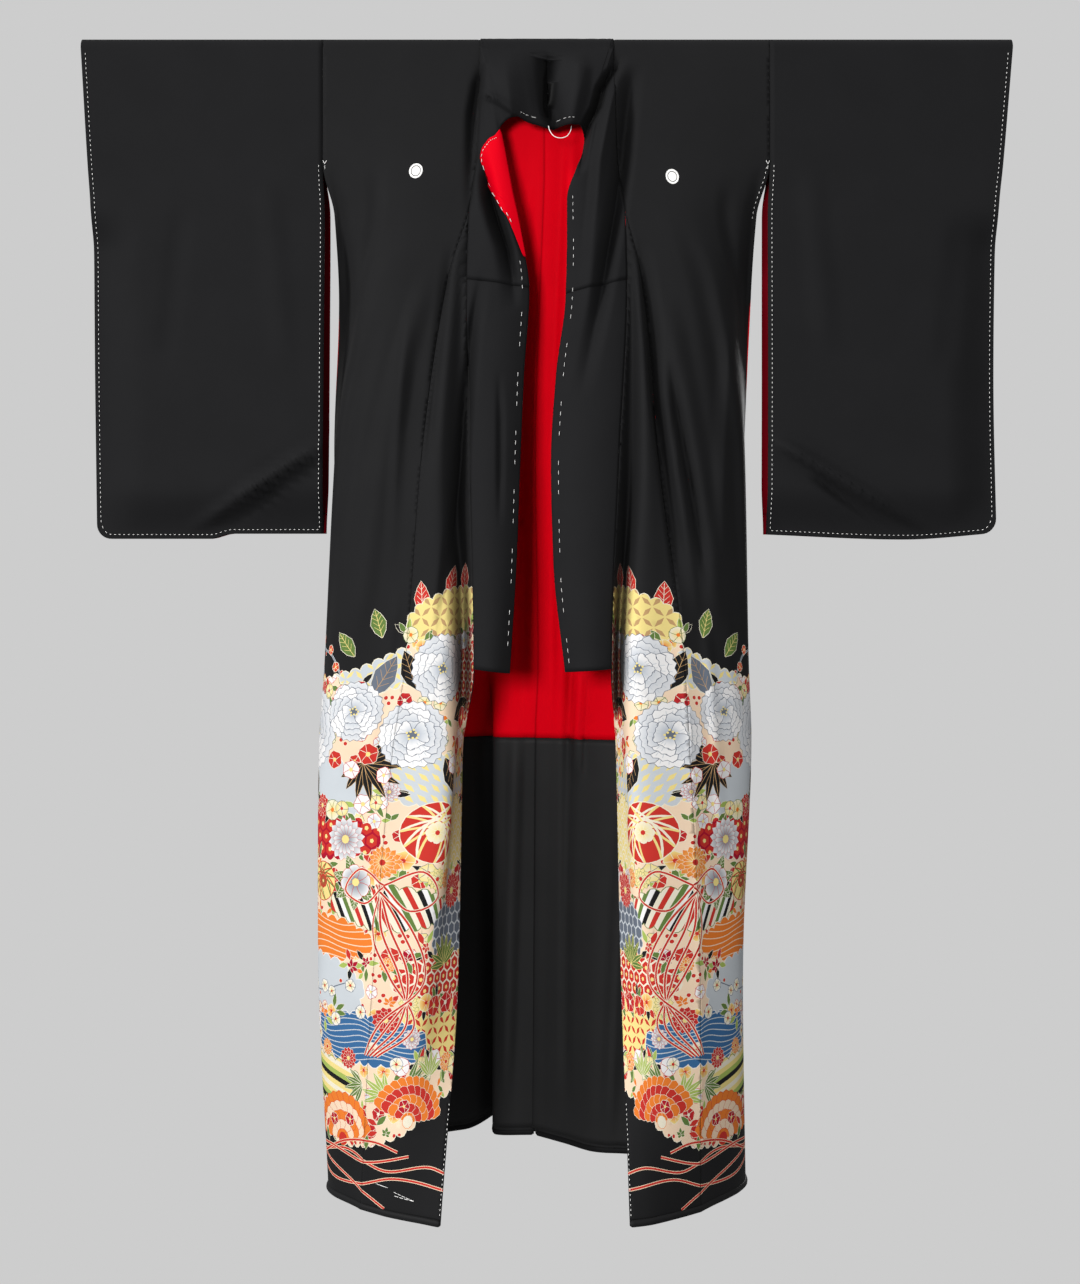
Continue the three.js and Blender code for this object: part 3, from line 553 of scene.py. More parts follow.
def sleeve_at(side, share, along):
    """Points of the sleeve. share is 0 at the inner edge and 1 at the cuff; along counts back
    from the shoulder line in millimetres of an even sleeve."""
    share, along = np.broadcast_arrays(np.asarray(share, float), np.asarray(along, float))
    flat_share, flat_along = share.ravel(), along.ravel()
    face = np.where(flat_along < 0, -1, 1)
    drop = np.abs(flat_along)
    bottom = curve([row[0] for row in side["bottom"]], [row[1] for row in side["bottom"]], flat_share)
    from_cuff = (1 - flat_share) * SLEEVE_WIDTH
    round_off = SLEEVE_CORNER - np.sqrt(
        np.clip(SLEEVE_CORNER ** 2 - np.clip(SLEEVE_CORNER - from_cuff, 0, None) ** 2, 0, None)
    )
    bottom = bottom + round_off
    down = np.clip((drop - SHOULDER_ARC) / SLEEVE_DEPTH, 0, None)
    z = down * bottom
    keys = [-row[0] for row in side["sleeve"]]
    inner, outer, half = (curve(keys, [row[k] for row in side["sleeve"]], -z) for k in (1, 2, 3))
    inner = inner - np.where(face > 0, BACK_LAYER_REACH * ease((ARMHOLE_Z - z) / LAYER_REACH_START), 0)
    below_cuff = ease((CUFF_Z - z) / CLOSE_LENGTH)
    from_edge = ease((1 - flat_share) * (outer - inner) / CLOSE_WIDTH)
    from_bottom = ease((z - bottom) / CLOSE_WIDTH)
    opening = (1 - below_cuff * (1 - from_edge)) * from_bottom
    half = SEAM_HALF + (half - SEAM_HALF) * opening
    x = inner + (outer - inner) * flat_share
    folds = [side["sleeve_fold"], *side["sleeve_creases"]]
    proud = sum(np.where(face == fold[0], fold_rise(fold, x, z), 0) for fold in folds) * from_bottom
    angle = np.minimum(drop / RADIUS, math.pi / 2)
    hanging = drop >= SHOULDER_ARC
    points = np.stack([
        side["sign"] * x,
        np.where(hanging, face * (half + proud), face * RADIUS * np.sin(angle)),
        np.where(hanging, z, RADIUS * np.cos(angle)),
    ], axis=-1)
    return points.reshape(share.shape + (3,))


def unit(vectors):
    return vectors / np.maximum(np.linalg.norm(vectors, axis=-1, keepdims=True), 1e-12)


def grid_normals(grid):
    along = np.gradient(grid, axis=0)
    across = np.gradient(grid, axis=1)
    return unit(np.cross(along, across))


def lengths_along(path):
    """How far each point of a path lies from its start."""
    return np.concatenate([[0], np.cumsum(np.linalg.norm(np.diff(path, axis=0), axis=1))])

def moved_out(grid, distance):
    return grid + grid_normals(grid) * distance


def piece(name, points, faces, materials, kinds=None, flat=None, colours=None, nodes=(), slot=None):
    """A smooth mesh piece in metres that rides on the garment's one body."""
    mesh = bpy.data.meshes.new(name)
    mesh.from_pydata((np.asarray(points) * MM).tolist(), [], faces)
    mesh.polygons.foreach_set("use_smooth", [True] * len(mesh.polygons))
    for material in materials:
        mesh.materials.append(material)
    if kinds is not None:
        mesh.polygons.foreach_set("material_index", np.asarray(kinds, np.int32))
    corners = np.empty(len(mesh.loops), np.int32)
    mesh.loops.foreach_get("vertex_index", corners)
    if flat is not None:
        layer = mesh.uv_layers.new(name="cloth")
        layer.data.foreach_set("uv", (np.asarray(flat, np.float32) * MM)[corners].ravel())
    if colours is not None:
        layer = mesh.color_attributes.new("print", "BYTE_COLOR", "CORNER")
        layer.data.foreach_set("color_srgb", np.asarray(colours, np.float32).ravel())
    mesh.update()
    made = bpy.data.objects.new(name, mesh)
    bpy.context.scene.collection.objects.link(made)
    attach(made, "root")
    if nodes:
        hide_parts(*nodes)
    return made


def grid_faces(rows, columns, start=0, flip=False):
    """Triangles of a grid, cut along the same diagonal on both layers of a shell."""
    faces = []
    for i in range(rows - 1):
        for j in range(columns - 1):
            a = start + i * columns + j
            pair = ((a, a + columns, a + columns + 1), (a, a + columns + 1, a + 1))
            faces.extend(face[::-1] if flip else face for face in pair)
    return faces


def tube_faces(rings, sides):
    """Faces of a closed tube of rings of points, with its two ends."""
    faces = [
        (i * sides + k, i * sides + (k + 1) % sides, (i + 1) * sides + (k + 1) % sides, (i + 1) * sides + k)
        for i in range(rings - 1) for k in range(sides)
    ]
    return [*faces, tuple(range(sides))[::-1], tuple(range((rings - 1) * sides, rings * sides))]

def shell(name, grid, thickness, materials, flat, inside=0, **facts):
    """A closed thin shell whose middle is a grid of points. inside is its inner layer's material."""
    rows, columns = grid.shape[:2]
    normals = grid_normals(grid)
    points = np.concatenate([
        (grid + normals * thickness / 2).reshape(-1, 3), (grid - normals * thickness / 2).reshape(-1, 3)
    ])
    count = rows * columns
    faces = grid_faces(rows, columns) + grid_faces(rows, columns, count, flip=True)
    layer = 2 * (rows - 1) * (columns - 1)
    kinds = [0] * layer + [inside] * layer
    ring = [*range(columns), *range(2 * columns - 1, count, columns)]
    ring += [*range(count - 2, count - columns - 1, -1), *range(count - 2 * columns, 0, -columns)]
    for a, b in zip(ring, ring[1:] + ring[:1]):
        faces.append((a, b, b + count, a + count))
        kinds.append(0)
    places = np.concatenate([flat.reshape(-1, 2)] * 2)
    return piece(name, points, faces, materials, kinds, places, **facts)


INK = {
    "black": (0.121, 0.121, 0.126),
    "peach": (0.972, 0.862, 0.745),
    "cream": (0.955, 0.925, 0.835),
    "grey": (0.800, 0.822, 0.845),
    "red": (0.800, 0.215, 0.185),
    "crimson": (0.675, 0.075, 0.185),
    "orange": (0.935, 0.505, 0.195),
    "yellow": (0.955, 0.875, 0.560),
    "olive": (0.400, 0.505, 0.260),
    "green": (0.665, 0.745, 0.380),
    "indigo": (0.240, 0.425, 0.610),
    "white": (0.955, 0.950, 0.945),
    "ochre": (0.770, 0.620, 0.430),
    "slate": (0.420, 0.450, 0.500),
    "mist": (0.640, 0.680, 0.740),
}


class Print:
    """Flat shapes in the order they are painted. A shape with a parent shows only on the parent."""

    def __init__(self):
        self.outlines, self.inks, self.parents = [], [], []

    def add(self, outline, ink, parent=None):
        outline = np.asarray(outline, float)
        if turning(outline) < 0:
            outline = outline[::-1]
        self.outlines.append(outline)
        self.inks.append(INK[ink] if isinstance(ink, str) else ink)
        self.parents.append(parent)
        return len(self.outlines) - 1

    def lies_on(self, shape, have):
        """Whether a shape's parents are all among the shapes that cover a place."""
        parent = self.parents[shape]
        while parent is not None:
            if parent not in have:
                return False
            parent = self.parents[parent]
        return True

    def within(self, low, high):
        """The shapes whose boxes reach into a box."""
        return [
            k for k, outline in enumerate(self.outlines)
            if (outline.max(axis=0) > low).all() and (outline.min(axis=0) < high).all()
        ]

    def edged(self, outline, ink, edge, width=0.7, parent=None):
        self.add(grown(outline, width), edge, parent)
        return self.add(outline, ink, parent)


def shaded(inner, outer, centre, radius):
    """An ink that turns from one colour at a centre to another at a radius."""
    return (INK[inner], INK[outer], centre, radius)


def turning(outline):
    """Above 0 where a closed outline runs against the clock."""
    x, y = outline[:, 0], outline[:, 1]
    return (x * np.roll(y, -1) - y * np.roll(x, -1)).sum()

def grown(outline, distance):
    """A closed outline moved out by a distance."""
    outline = np.asarray(outline, float)
    turn = np.sign(turning(outline))
    way = unit(np.roll(outline, -1, axis=0) - np.roll(outline, 1, axis=0))
    return outline + turn * distance * np.stack([way[:, 1], -way[:, 0]], axis=1)


def disc(x, y, radius, count=12):
    turns = np.linspace(0, 2 * math.pi, count, endpoint=False)
    return np.stack([x + radius * np.cos(turns), y + radius * np.sin(turns)], axis=1)


PETAL = [(0.0, 0.2), (0.32, 0.7), (0.72, 1.0), (0.95, 0.62)]
SMALL_PETAL = [(0.0, 0.3), (0.6, 1.0), (0.93, 0.66)]
SLIM_PETAL = [(0.1, 0.5), (0.75, 1.0)]


def placed(local, x, y, angle):
    """Places turned by an angle and moved to a point."""
    c, s = math.cos(angle), math.sin(angle)
    return np.array([(x + p * c - q * s, y + p * s + q * c) for p, q in local])

def petal(x, y, angle, start, length, width, notch=0.0, profile=PETAL):
    half = [(start + length * s, width / 2 * w) for s, w in profile]
    local = [*half, (start + length * (1 - notch), 0.0), *[(r, -q) for r, q in half[::-1]]]
    return placed(local, x, y, angle)


def flower(page, x, y, radius, petals, inks, turn=0.0, notch=0.0, wide=1.0, parent=None):
    """A round blossom. inks are the edge, the petal's inner and outer colour, and the middle."""
    edge, inner, outer, middle = inks
    width = 2 * radius * math.tan(math.pi / petals) * 0.86 * wide
    fill = shaded(inner, outer, (x, y), radius)
    for k in range(petals):
        profile = PETAL if radius > 16 else SMALL_PETAL
        angle = turn + 2 * math.pi * k / petals
        shape = petal(x, y, angle, radius * 0.14, radius * 0.84, width, notch, profile)
        page.edged(shape, fill, edge, parent=parent)
    page.add(disc(x, y, radius * 0.24, 7), middle, parent)


def spoke(x, y, radius, angle):
    return x + radius * math.cos(angle), y + radius * math.sin(angle)


LEAF = [(0.0, 0.05), (0.22, 0.7), (0.5, 1.0), (0.8, 0.55)]
SMALL_LEAF = [(0.0, 0.1), (0.4, 1.0), (0.72, 0.72)]


def leaf(page, x, y, length, width, angle, fill="olive", edge="cream", parent=None):
    small = length < 24
    shape = petal(x, y, angle, 0, length, width, 0, SMALL_LEAF if small else LEAF)
    page.edged(shape, fill, edge, 0.6, parent)
    if not small:
        page.add(band(np.array([(x, y), spoke(x, y, length * 0.9, angle)]), 0.8), edge, parent)


def maple(page, x, y, radius, angle, fill, edge="cream", parent=None):
    tips = [(0, 1.0), (0.85, 0.86), (1.7, 0.6), (-0.85, 0.86), (-1.7, 0.6)]
    for offset, size in tips:
        shape = petal(x, y, angle + offset, 0, radius * size, radius * 0.4 * size + 1, 0, SMALL_LEAF)
        page.edged(shape, fill, edge, 0.5, parent)


def spray(page, x, y, reach, angle, leaves, fill, edge="cream"):
    """Long narrow leaves that fan out from one point."""
    for k in range(leaves):
        turn = angle + (k - (leaves - 1) / 2) * 0.42
        leaf(page, x, y, reach * (1 - 0.08 * abs(k - leaves / 2)), reach * 0.2, turn, fill, edge)


def along_path(path, step):
    """Points at an even spacing on a smooth line through the path's points."""
    path = np.asarray(path, float)
    keys = lengths_along(path)
    at = np.linspace(0, keys[-1], max(4, int(keys[-1] / step)))
    return np.stack([curve(keys, path[:, k], at, steady=False) for k in (0, 1)], axis=1)


def band(line, width):
    way = unit(np.gradient(line, axis=0))
    off = np.stack([-way[:, 1], way[:, 0]], axis=1) * width / 2
    return np.concatenate([line + off, (line - off)[::-1]])


def ribbon(page, path, width, fill="red", edge="cream", step=6.0, parent=None):
    """A cord or ribbon along a line, in short runs so that it may cross itself."""
    line = along_path(path, step)
    runs = [line[k:k + 6] for k in range(0, len(line) - 1, 5)]
    for wide, ink in ((width + 1.6, edge), (width, fill)):
        for run in runs:
            if len(run) > 1:
                page.add(band(run, wide), ink, parent)


def scalloped(base, lobe, bulge=0.36):
    """A closed outline whose sides are rows of round lobes."""
    base = np.asarray(base, float)
    if turning(base) < 0:
        base = base[::-1]
    out = []
    for a, b in zip(base, np.roll(base, -1, axis=0)):
        count = max(1, round(np.linalg.norm(b - a) / lobe))
        for k in range(count):
            p, q = a + (b - a) * k / count, a + (b - a) * (k + 1) / count
            chord = q - p
            outward = np.array([chord[1], -chord[0]]) * bulge
            for s in (0, 0.12, 0.36, 0.64, 0.88):
                out.append(p + chord * s + outward * 4 * s * (1 - s))
    return np.array(out)


def blob(x, y, wide, high, count=9, turn=0.0):
    """A flat rounded outline, the base of a cloud."""
    turns = np.linspace(0, 2 * math.pi, count, endpoint=False) + 0.2
    return placed(zip(wide / 2 * np.cos(turns), high / 2 * np.sin(turns)), x, y, turn)


def cloud(page, x, y, wide, high, fill, edge="cream", lobe=17, turn=0.0, parent=None):
    return page.edged(scalloped(blob(x, y, wide, high, turn=turn), lobe), fill, edge, 1.0, parent)


def spots(x, y, wide, high, step_x, step_y, shift=0.5):
    """Places in staggered rows, from the top row down."""
    rows = int(high / step_y) + 1
    for j in range(rows):
        py = y + high / 2 - j * step_y
        start = -wide / 2 + (shift * step_x if j % 2 else 0)
        for k in range(int(wide / step_x) + 1):
            yield x + start + k * step_x, py


def waves(page, parent, x, y, wide, high, radius, dark, light):
    """Overlapping scales of rings."""
    for px, py in spots(x, y, wide, high, 2 * radius, radius * 0.8):
        for share, ink in ((1.0, light), (0.86, dark), (0.56, light), (0.4, dark)):
            page.add(disc(px, py, radius * share, 10), ink, parent)


LENS_WIDTH = 0.36


def linked_rings(page, parent, x, y, wide, high, radius, ink):
    """Lenses between overlapping circles."""
    for px, py in spots(x, y, wide, high, radius, radius, 0):
        slant = round((px + py - x - y) / radius) % 2
        angle = math.pi / 4 if slant else -math.pi / 4
        c, s = radius * 0.6 * math.cos(angle), radius * 0.6 * math.sin(angle)
        p, q = LENS_WIDTH * s, LENS_WIDTH * c
        lens = [(px + c, py + s), (px - p, py + q), (px - c, py - s), (px + p, py - q)]
        page.add(lens, ink, parent)


def honeycomb(page, parent, x, y, wide, high, size, line, fill, dot):
    """Cells with a dot in each, on a ground of the line's ink."""
    corners = [(x - wide, y - high), (x + wide, y - high), (x + wide, y + high), (x - wide, y + high)]
    page.add(corners, line, parent)
    for px, py in spots(x, y, wide, high, size * 1.74, size * 1.5):
        turned = disc(0, 0, size * 0.86, 6) @ np.array([[0, 1], [-1, 0]])
        page.add(turned + (px, py), fill, parent)
        page.add(disc(px, py, size * 0.3, 5), dot, parent)


def dots(page, parent, x, y, wide, high, step, ink):
    for px, py in spots(x, y, wide, high, step, step * 0.8):
        page.add(disc(px, py, step * 0.24, 5), ink, parent)


def stripes(page, parent, x, y, reach, step, angle, inks):
    """Straight bands side by side across a shape."""
    count = int(reach / step)
    for k in range(-count, count):
        ink = inks[k % len(inks)]
        a, b = k * step, (k + 1) * step * 0.999
        corners = [(a, -reach), (b, -reach), (b, reach), (a, reach)]
        page.add(placed(corners, x, y, angle), ink, parent)


def ball(page, x, y, radius, inks, turn=0.0):
    """A thread ball with curved bands."""
    ground, first, second, edge = inks
    base = page.edged(disc(x, y, radius, 26), ground, edge, 1.2)
    for k in range(6):
        lean = turn + math.pi * k / 6
        for swing, ink in ((0.42, first), (0.2, second)):
            local = [(radius * swing * (1 - t * t), radius * t) for t in np.linspace(-1, 1, 9)]
            page.add(band(placed(local, x, y, lean), radius * 0.07), ink, base)
    flower(page, x, y, radius * 0.36, 8, (edge, second, first, ground), turn)


def zone_outline():
    """The printed ground: scalloped above and below, past the seams at the sides."""
    lower = [(290, 92), (360, 84), (430, 96), (500, 84), (560, 96), (610, 120), (650, 158), (702, 178)]
    upper = [(702, 838), (650, 826), (600, 800), (540, 752), (480, 722), (420, 706), (350, 684), (290, 668)]
    return np.array(lower + upper)


SMALL_INKS = [
    ("cream", "red", "red", "yellow"),
    ("red", "white", "white", "yellow"),
    ("cream", "orange", "yellow", "red"),
    ("red", "grey", "white", "yellow"),
    ("cream", "crimson", "red", "cream"),
    ("olive", "yellow", "cream", "orange"),
    ("slate", "cream", "yellow", "red"),
]
FULL_INKS = [
    ("cream", "yellow", "orange", "red"),
    ("cream", "crimson", "red", "yellow"),
    ("red", "slate", "white", "yellow"),
    ("olive", "cream", "yellow", "red"),
]
RUFFLE = [(0.1, 0.3), (0.5, 0.86), (0.78, 1.0), (0.94, 0.84), (0.91, 0.52), (1.0, 0.3)]


def peony(page, x, y, radius, inks, turn=0.0):
    """A large blossom of four rings of ruffled petals with fine veins and a cluster of stamens."""
    edge, inner, outer, middle = inks
    for ring, (size, count) in enumerate(((1.0, 8), (0.8, 7), (0.6, 6), (0.4, 5))):
        width = 2 * radius * size * math.tan(math.pi / count) * 1.1
        tones = [shaded(inner, outer, (x, y), radius * size * reach) for reach in (0.8, 1.25)]
        for k in range(count):
            fill = tones[(k + ring) % 2]
            angle = turn + 0.45 * ring + 2 * math.pi * k / count
            base = page.edged(petal(x, y, angle, 0, radius * size, width, 0.06, RUFFLE), fill, edge, 0.75)
            for lean in (-0.12, 0.12):
                start, end = (spoke(x, y, radius * size * r, angle + lean) for r in (0.66, 0.9))
                page.add(band(np.array([start, end]), 0.8), "grey", base)
    page.add(disc(x, y, radius * 0.13, 10), edge)
    for k in range(9):
        page.add(disc(*spoke(x, y, radius * (0.1 if k % 2 else 0.15), k * 0.7), radius * 0.035, 6), middle)


def chrysanthemum(page, x, y, radius, inks, turn=0.0, petals=16, parent=None):
    edge, inner, outer, middle = inks
    for size, shift in ((1.0, 0), (0.66, 0.5)):
        fill = shaded(inner, outer, (x, y), radius * size)
        width = 2 * radius * size * math.tan(math.pi / petals) * 0.95
        for k in range(petals):
            angle = turn + 2 * math.pi * (k + shift) / petals
            shape = petal(x, y, angle, radius * 0.1, radius * size * 0.9, width, 0, SLIM_PETAL)
            page.edged(shape, fill, edge, 0.45, parent)
    page.add(disc(x, y, radius * 0.2, 8), middle, parent)


def broad_leaf(page, x, y, length, angle, fill, vein, edge="cream", parent=None):
    """A wide leaf with a middle rib and side veins."""
    base = page.edged(petal(x, y, angle, 0, length, length * 0.52, 0, LEAF), fill, edge, 0.7, parent)
    tip = spoke(x, y, length * 0.94, angle)
    page.add(band(np.array([(x, y), tip]), 0.8), vein, base)
    for k in range(1, 5):
        root = spoke(x, y, length * (0.06 + 0.17 * k), angle)
        for lean in (-0.75, 0.75):
            end = spoke(*root, length * 0.24, angle + lean)
            page.add(band(np.array([root, end]), 0.55), vein, base)


def twig(page, path, dice, inks, size=7.0):
    """A thin branch with small blossoms and buds."""
    ribbon(page, path, 1.4, "slate", "grey")
    line = along_path(path, 15)
    for k, (x, y) in enumerate(line):
        off = 5 if k % 2 else -5
        if k % 3 == 2:
            page.edged(disc(x, y + off, 2.6, 8), "red", "cream", 0.6)
        else:
            flower(page, x, y + off, size * dice.uniform(0.85, 1.15), 5, inks, k, 0.08, 1.15)


def fan(page, x, y, radius, angle, spread_angle, first, second, edge, parent=None):
    """Half a round blossom: rings of short petals over one another, like scales."""
    for ring in range(5, 0, -1):
        reach = radius * ring / 5
        count = max(3, int(ring * 2.6))
        ink = first if ring % 2 else second
        for k in range(count):
            turn = angle + spread_angle * ((k + 0.5) / count - 0.5)
            width = reach * spread_angle / count * 1.25
            shape = petal(x, y, turn, reach * 0.45, reach * 0.55, width, 0, SMALL_PETAL)
            page.edged(shape, ink, edge, 0.6, parent)
    page.edged(disc(x, y, radius * 0.14, 10), edge, first, 0.7, parent)


def garland(page, path, dice, low=9.0, high=15.0, parent=None):
    """Blossoms and leaves close together along a line."""
    line = along_path(path, 20)
    for x, y in line:
        for _ in range(3):
            turn = dice.uniform(0, 6.28)
            fill = dice.choice(("olive", "green", "olive", "black", "red"))
            leaf(page, *spoke(x, y, 6, turn), dice.uniform(15, 21), 7.5, turn, fill, parent=parent)
    for x, y in line:
        kind = dice.random()
        size = dice.uniform(low, high)
        turn = dice.uniform(0, 6.28)
        px, py = x + dice.uniform(-5, 5), y + dice.uniform(-5, 5)
        if kind < 0.55:
            flower(page, px, py, size, 5, dice.choice(SMALL_INKS), turn, dice.choice((0, 0.12)), 1.1, parent)
        elif kind < 0.75:
            chrysanthemum(page, px, py, size * 1.15, dice.choice(FULL_INKS), turn, 12, parent)
        else:
            maple(page, px, py, size * 1.1, turn, dice.choice(("red", "orange", "crimson")), parent=parent)


def stream(page, parent, x, y, wide, high, count, light):
    """Fine wavy lines side by side, as on running water."""
    for k in range(count):
        level = y + high * ((k + 0.5) / count - 0.5)
        path = [
            (x + wide * (t / 8 - 0.5), level + 5 * math.sin(1.5 * t + 0.35 * k)) for t in range(9)
        ]
        page.add(band(along_path(path, 9), 1.3), light, parent)


def design(seed):
    """The whole print of one side, on the front and the overlap panel."""
    dice = random.Random(seed)
    page = Print()
    top_spray(page, dice)
    ground = page.edged(scalloped(zone_outline(), 17), "peach", "cream", 1.2)
    scatter(page, ground, dice)
    clouds(page, ground, dice)
    garlands(page, dice, ground)
    blossoms(page, dice)
    cords(page)
    return page


def top_spray(page, dice):
    """Twigs and leaves that reach up over the bare cloth."""
    twig(page, [(300, 752), (340, 742), (385, 728), (420, 700)], dice, ("red", "cream", "yellow", "red"), 8)
    twig(page, [(372, 772), (395, 752), (430, 742), (452, 715)], dice, ("cream", "orange", "red", "yellow"), 7)
    for x, y, length, angle in ((300, 668, 44, 1.2), (318, 662, 40, 2.0), (470, 742, 42, 2.3), (505, 768, 40, 1.9)):
        broad_leaf(page, x, y, length, angle, "olive", "yellow")
    for x, y, length, angle in ((560, 800, 44, 1.7), (600, 820, 46, 1.3), (640, 828, 40, 1.6), (672, 830, 34, 1.0)):
        broad_leaf(page, x, y, length, angle, "red", "cream")


def clouds(page, ground, dice):
    white = "white"
    c = cloud(page, 612, 800, 150, 62, "yellow", turn=0.2)
    linked_rings(page, c, 612, 800, 150, 62, 14, "ochre")
    c = cloud(page, 500, 728, 120, 56, "grey", parent=ground)
    linked_rings(page, c, 500, 728, 120, 56, 13, "yellow")
    c = cloud(page, 668, 706, 90, 100, "red", parent=ground)
    honeycomb(page, c, 668, 706, 90, 100, 9, "cream", "red", "yellow")
    c = cloud(page, 330, 596, 120, 130, "orange", parent=ground)
    waves(page, c, 330, 596, 110, 130, 12, "orange", "yellow")
    c = cloud(page, 440, 560, 150, 84, "grey", white, parent=ground)
    c = cloud(page, 600, 580, 190, 64, "grey", parent=ground)
    linked_rings(page, c, 600, 580, 190, 64, 14, "yellow")
    c = cloud(page, 420, 500, 230, 62, "crimson", parent=ground)
    honeycomb(page, c, 420, 500, 220, 60, 11, "crimson", "red", "yellow")
    c = cloud(page, 655, 500, 90, 110, "yellow", "olive", parent=ground)
    waves(page, c, 655, 500, 90, 110, 13, "yellow", "cream")
    c = cloud(page, 340, 424, 130, 74, "yellow", parent=ground)
    waves(page, c, 340, 424, 130, 74, 13, "green", "cream")
    c = cloud(page, 545, 410, 170, 52, white, "olive", parent=ground)
    stripes(page, c, 545, 410, 110, 6, 0.5, ("cream", "black", "white", "olive", "cream", "red"))
    c = cloud(page, 656, 380, 90, 80, "slate", "grey", parent=ground)
    honeycomb(page, c, 656, 380, 90, 80, 9, "grey", "slate", "slate")
    c = cloud(page, 420, 360, 230, 60, "orange", "cream", parent=ground)
    stream(page, c, 420, 360, 260, 60, 7, "peach")
    c = cloud(page, 640, 316, 150, 66, "red", parent=ground)
    honeycomb(page, c, 640, 316, 150, 66, 10, "cream", "red", "yellow")
    cloud(page, 410, 292, 230, 92, "grey", "white", parent=ground)
    c = cloud(page, 640, 252, 150, 72, "yellow", "red", parent=ground)
    linked_rings(page, c, 640, 252, 150, 72, 13, "red")
    c = cloud(page, 520, 232, 210, 62, "indigo", "white", parent=ground)
    stream(page, c, 520, 232, 230, 62, 9, "grey")
    c = cloud(page, 345, 210, 120, 76, "crimson", "cream", parent=ground)
    dots(page, c, 345, 210, 120, 76, 10, "yellow")
    c = cloud(page, 430, 170, 190, 56, "yellow", "olive", parent=ground)
    stripes(page, c, 430, 170, 110, 7, 1.35, ("yellow", "black", "green", "yellow", "cream"))


def scatter(page, ground, dice):
    """Small blossoms, leaves and buds all over the ground."""
    for x, y in spots(497, 460, 400, 760, 25, 26):
        px, py, turn = x + dice.uniform(-5, 5), y + dice.uniform(-5, 5), dice.uniform(0, 6.28)
        kind = dice.random()
        if kind < 0.4:
            flower(page, px, py, dice.uniform(8, 11), 5, dice.choice(SMALL_INKS), turn, 0.1, 1.1, ground)
        elif kind < 0.7:
            for k in range(3):
                fill = dice.choice(("olive", "green", "red", "orange"))
                leaf(page, px, py, dice.uniform(11, 15), 6, turn + k * 1.2, fill, parent=ground)
        elif kind < 0.85:
            maple(page, px, py, 11, turn, dice.choice(("red", "orange", "olive")), parent=ground)
        else:
            for k in range(3):
                page.edged(disc(*spoke(px, py, 5, turn + 2.1 * k), 2.8, 7), "red", "cream", 0.6, ground)


def garlands(page, dice, ground):
    for path in (
        [(295, 655), (360, 668), (420, 690), (480, 700)],
        [(540, 770), (590, 752), (640, 762), (690, 790)],
        [(295, 540), (350, 530), (420, 540), (480, 535), (540, 560)],
        [(295, 468), (360, 456), (430, 462), (490, 440), (560, 470), (620, 452), (695, 450)],
        [(690, 640), (660, 600), (690, 560)],
        [(295, 380), (340, 372)],
        [(600, 360), (560, 340), (500, 330)],
        [(295, 236), (360, 258), (420, 244), (470, 262)],
        [(560, 280), (600, 286), (690, 282)],
        [(590, 200), (640, 208), (695, 205)],
        [(295, 150), (350, 160), (400, 140)],
    ):
        garland(page, path, dice)


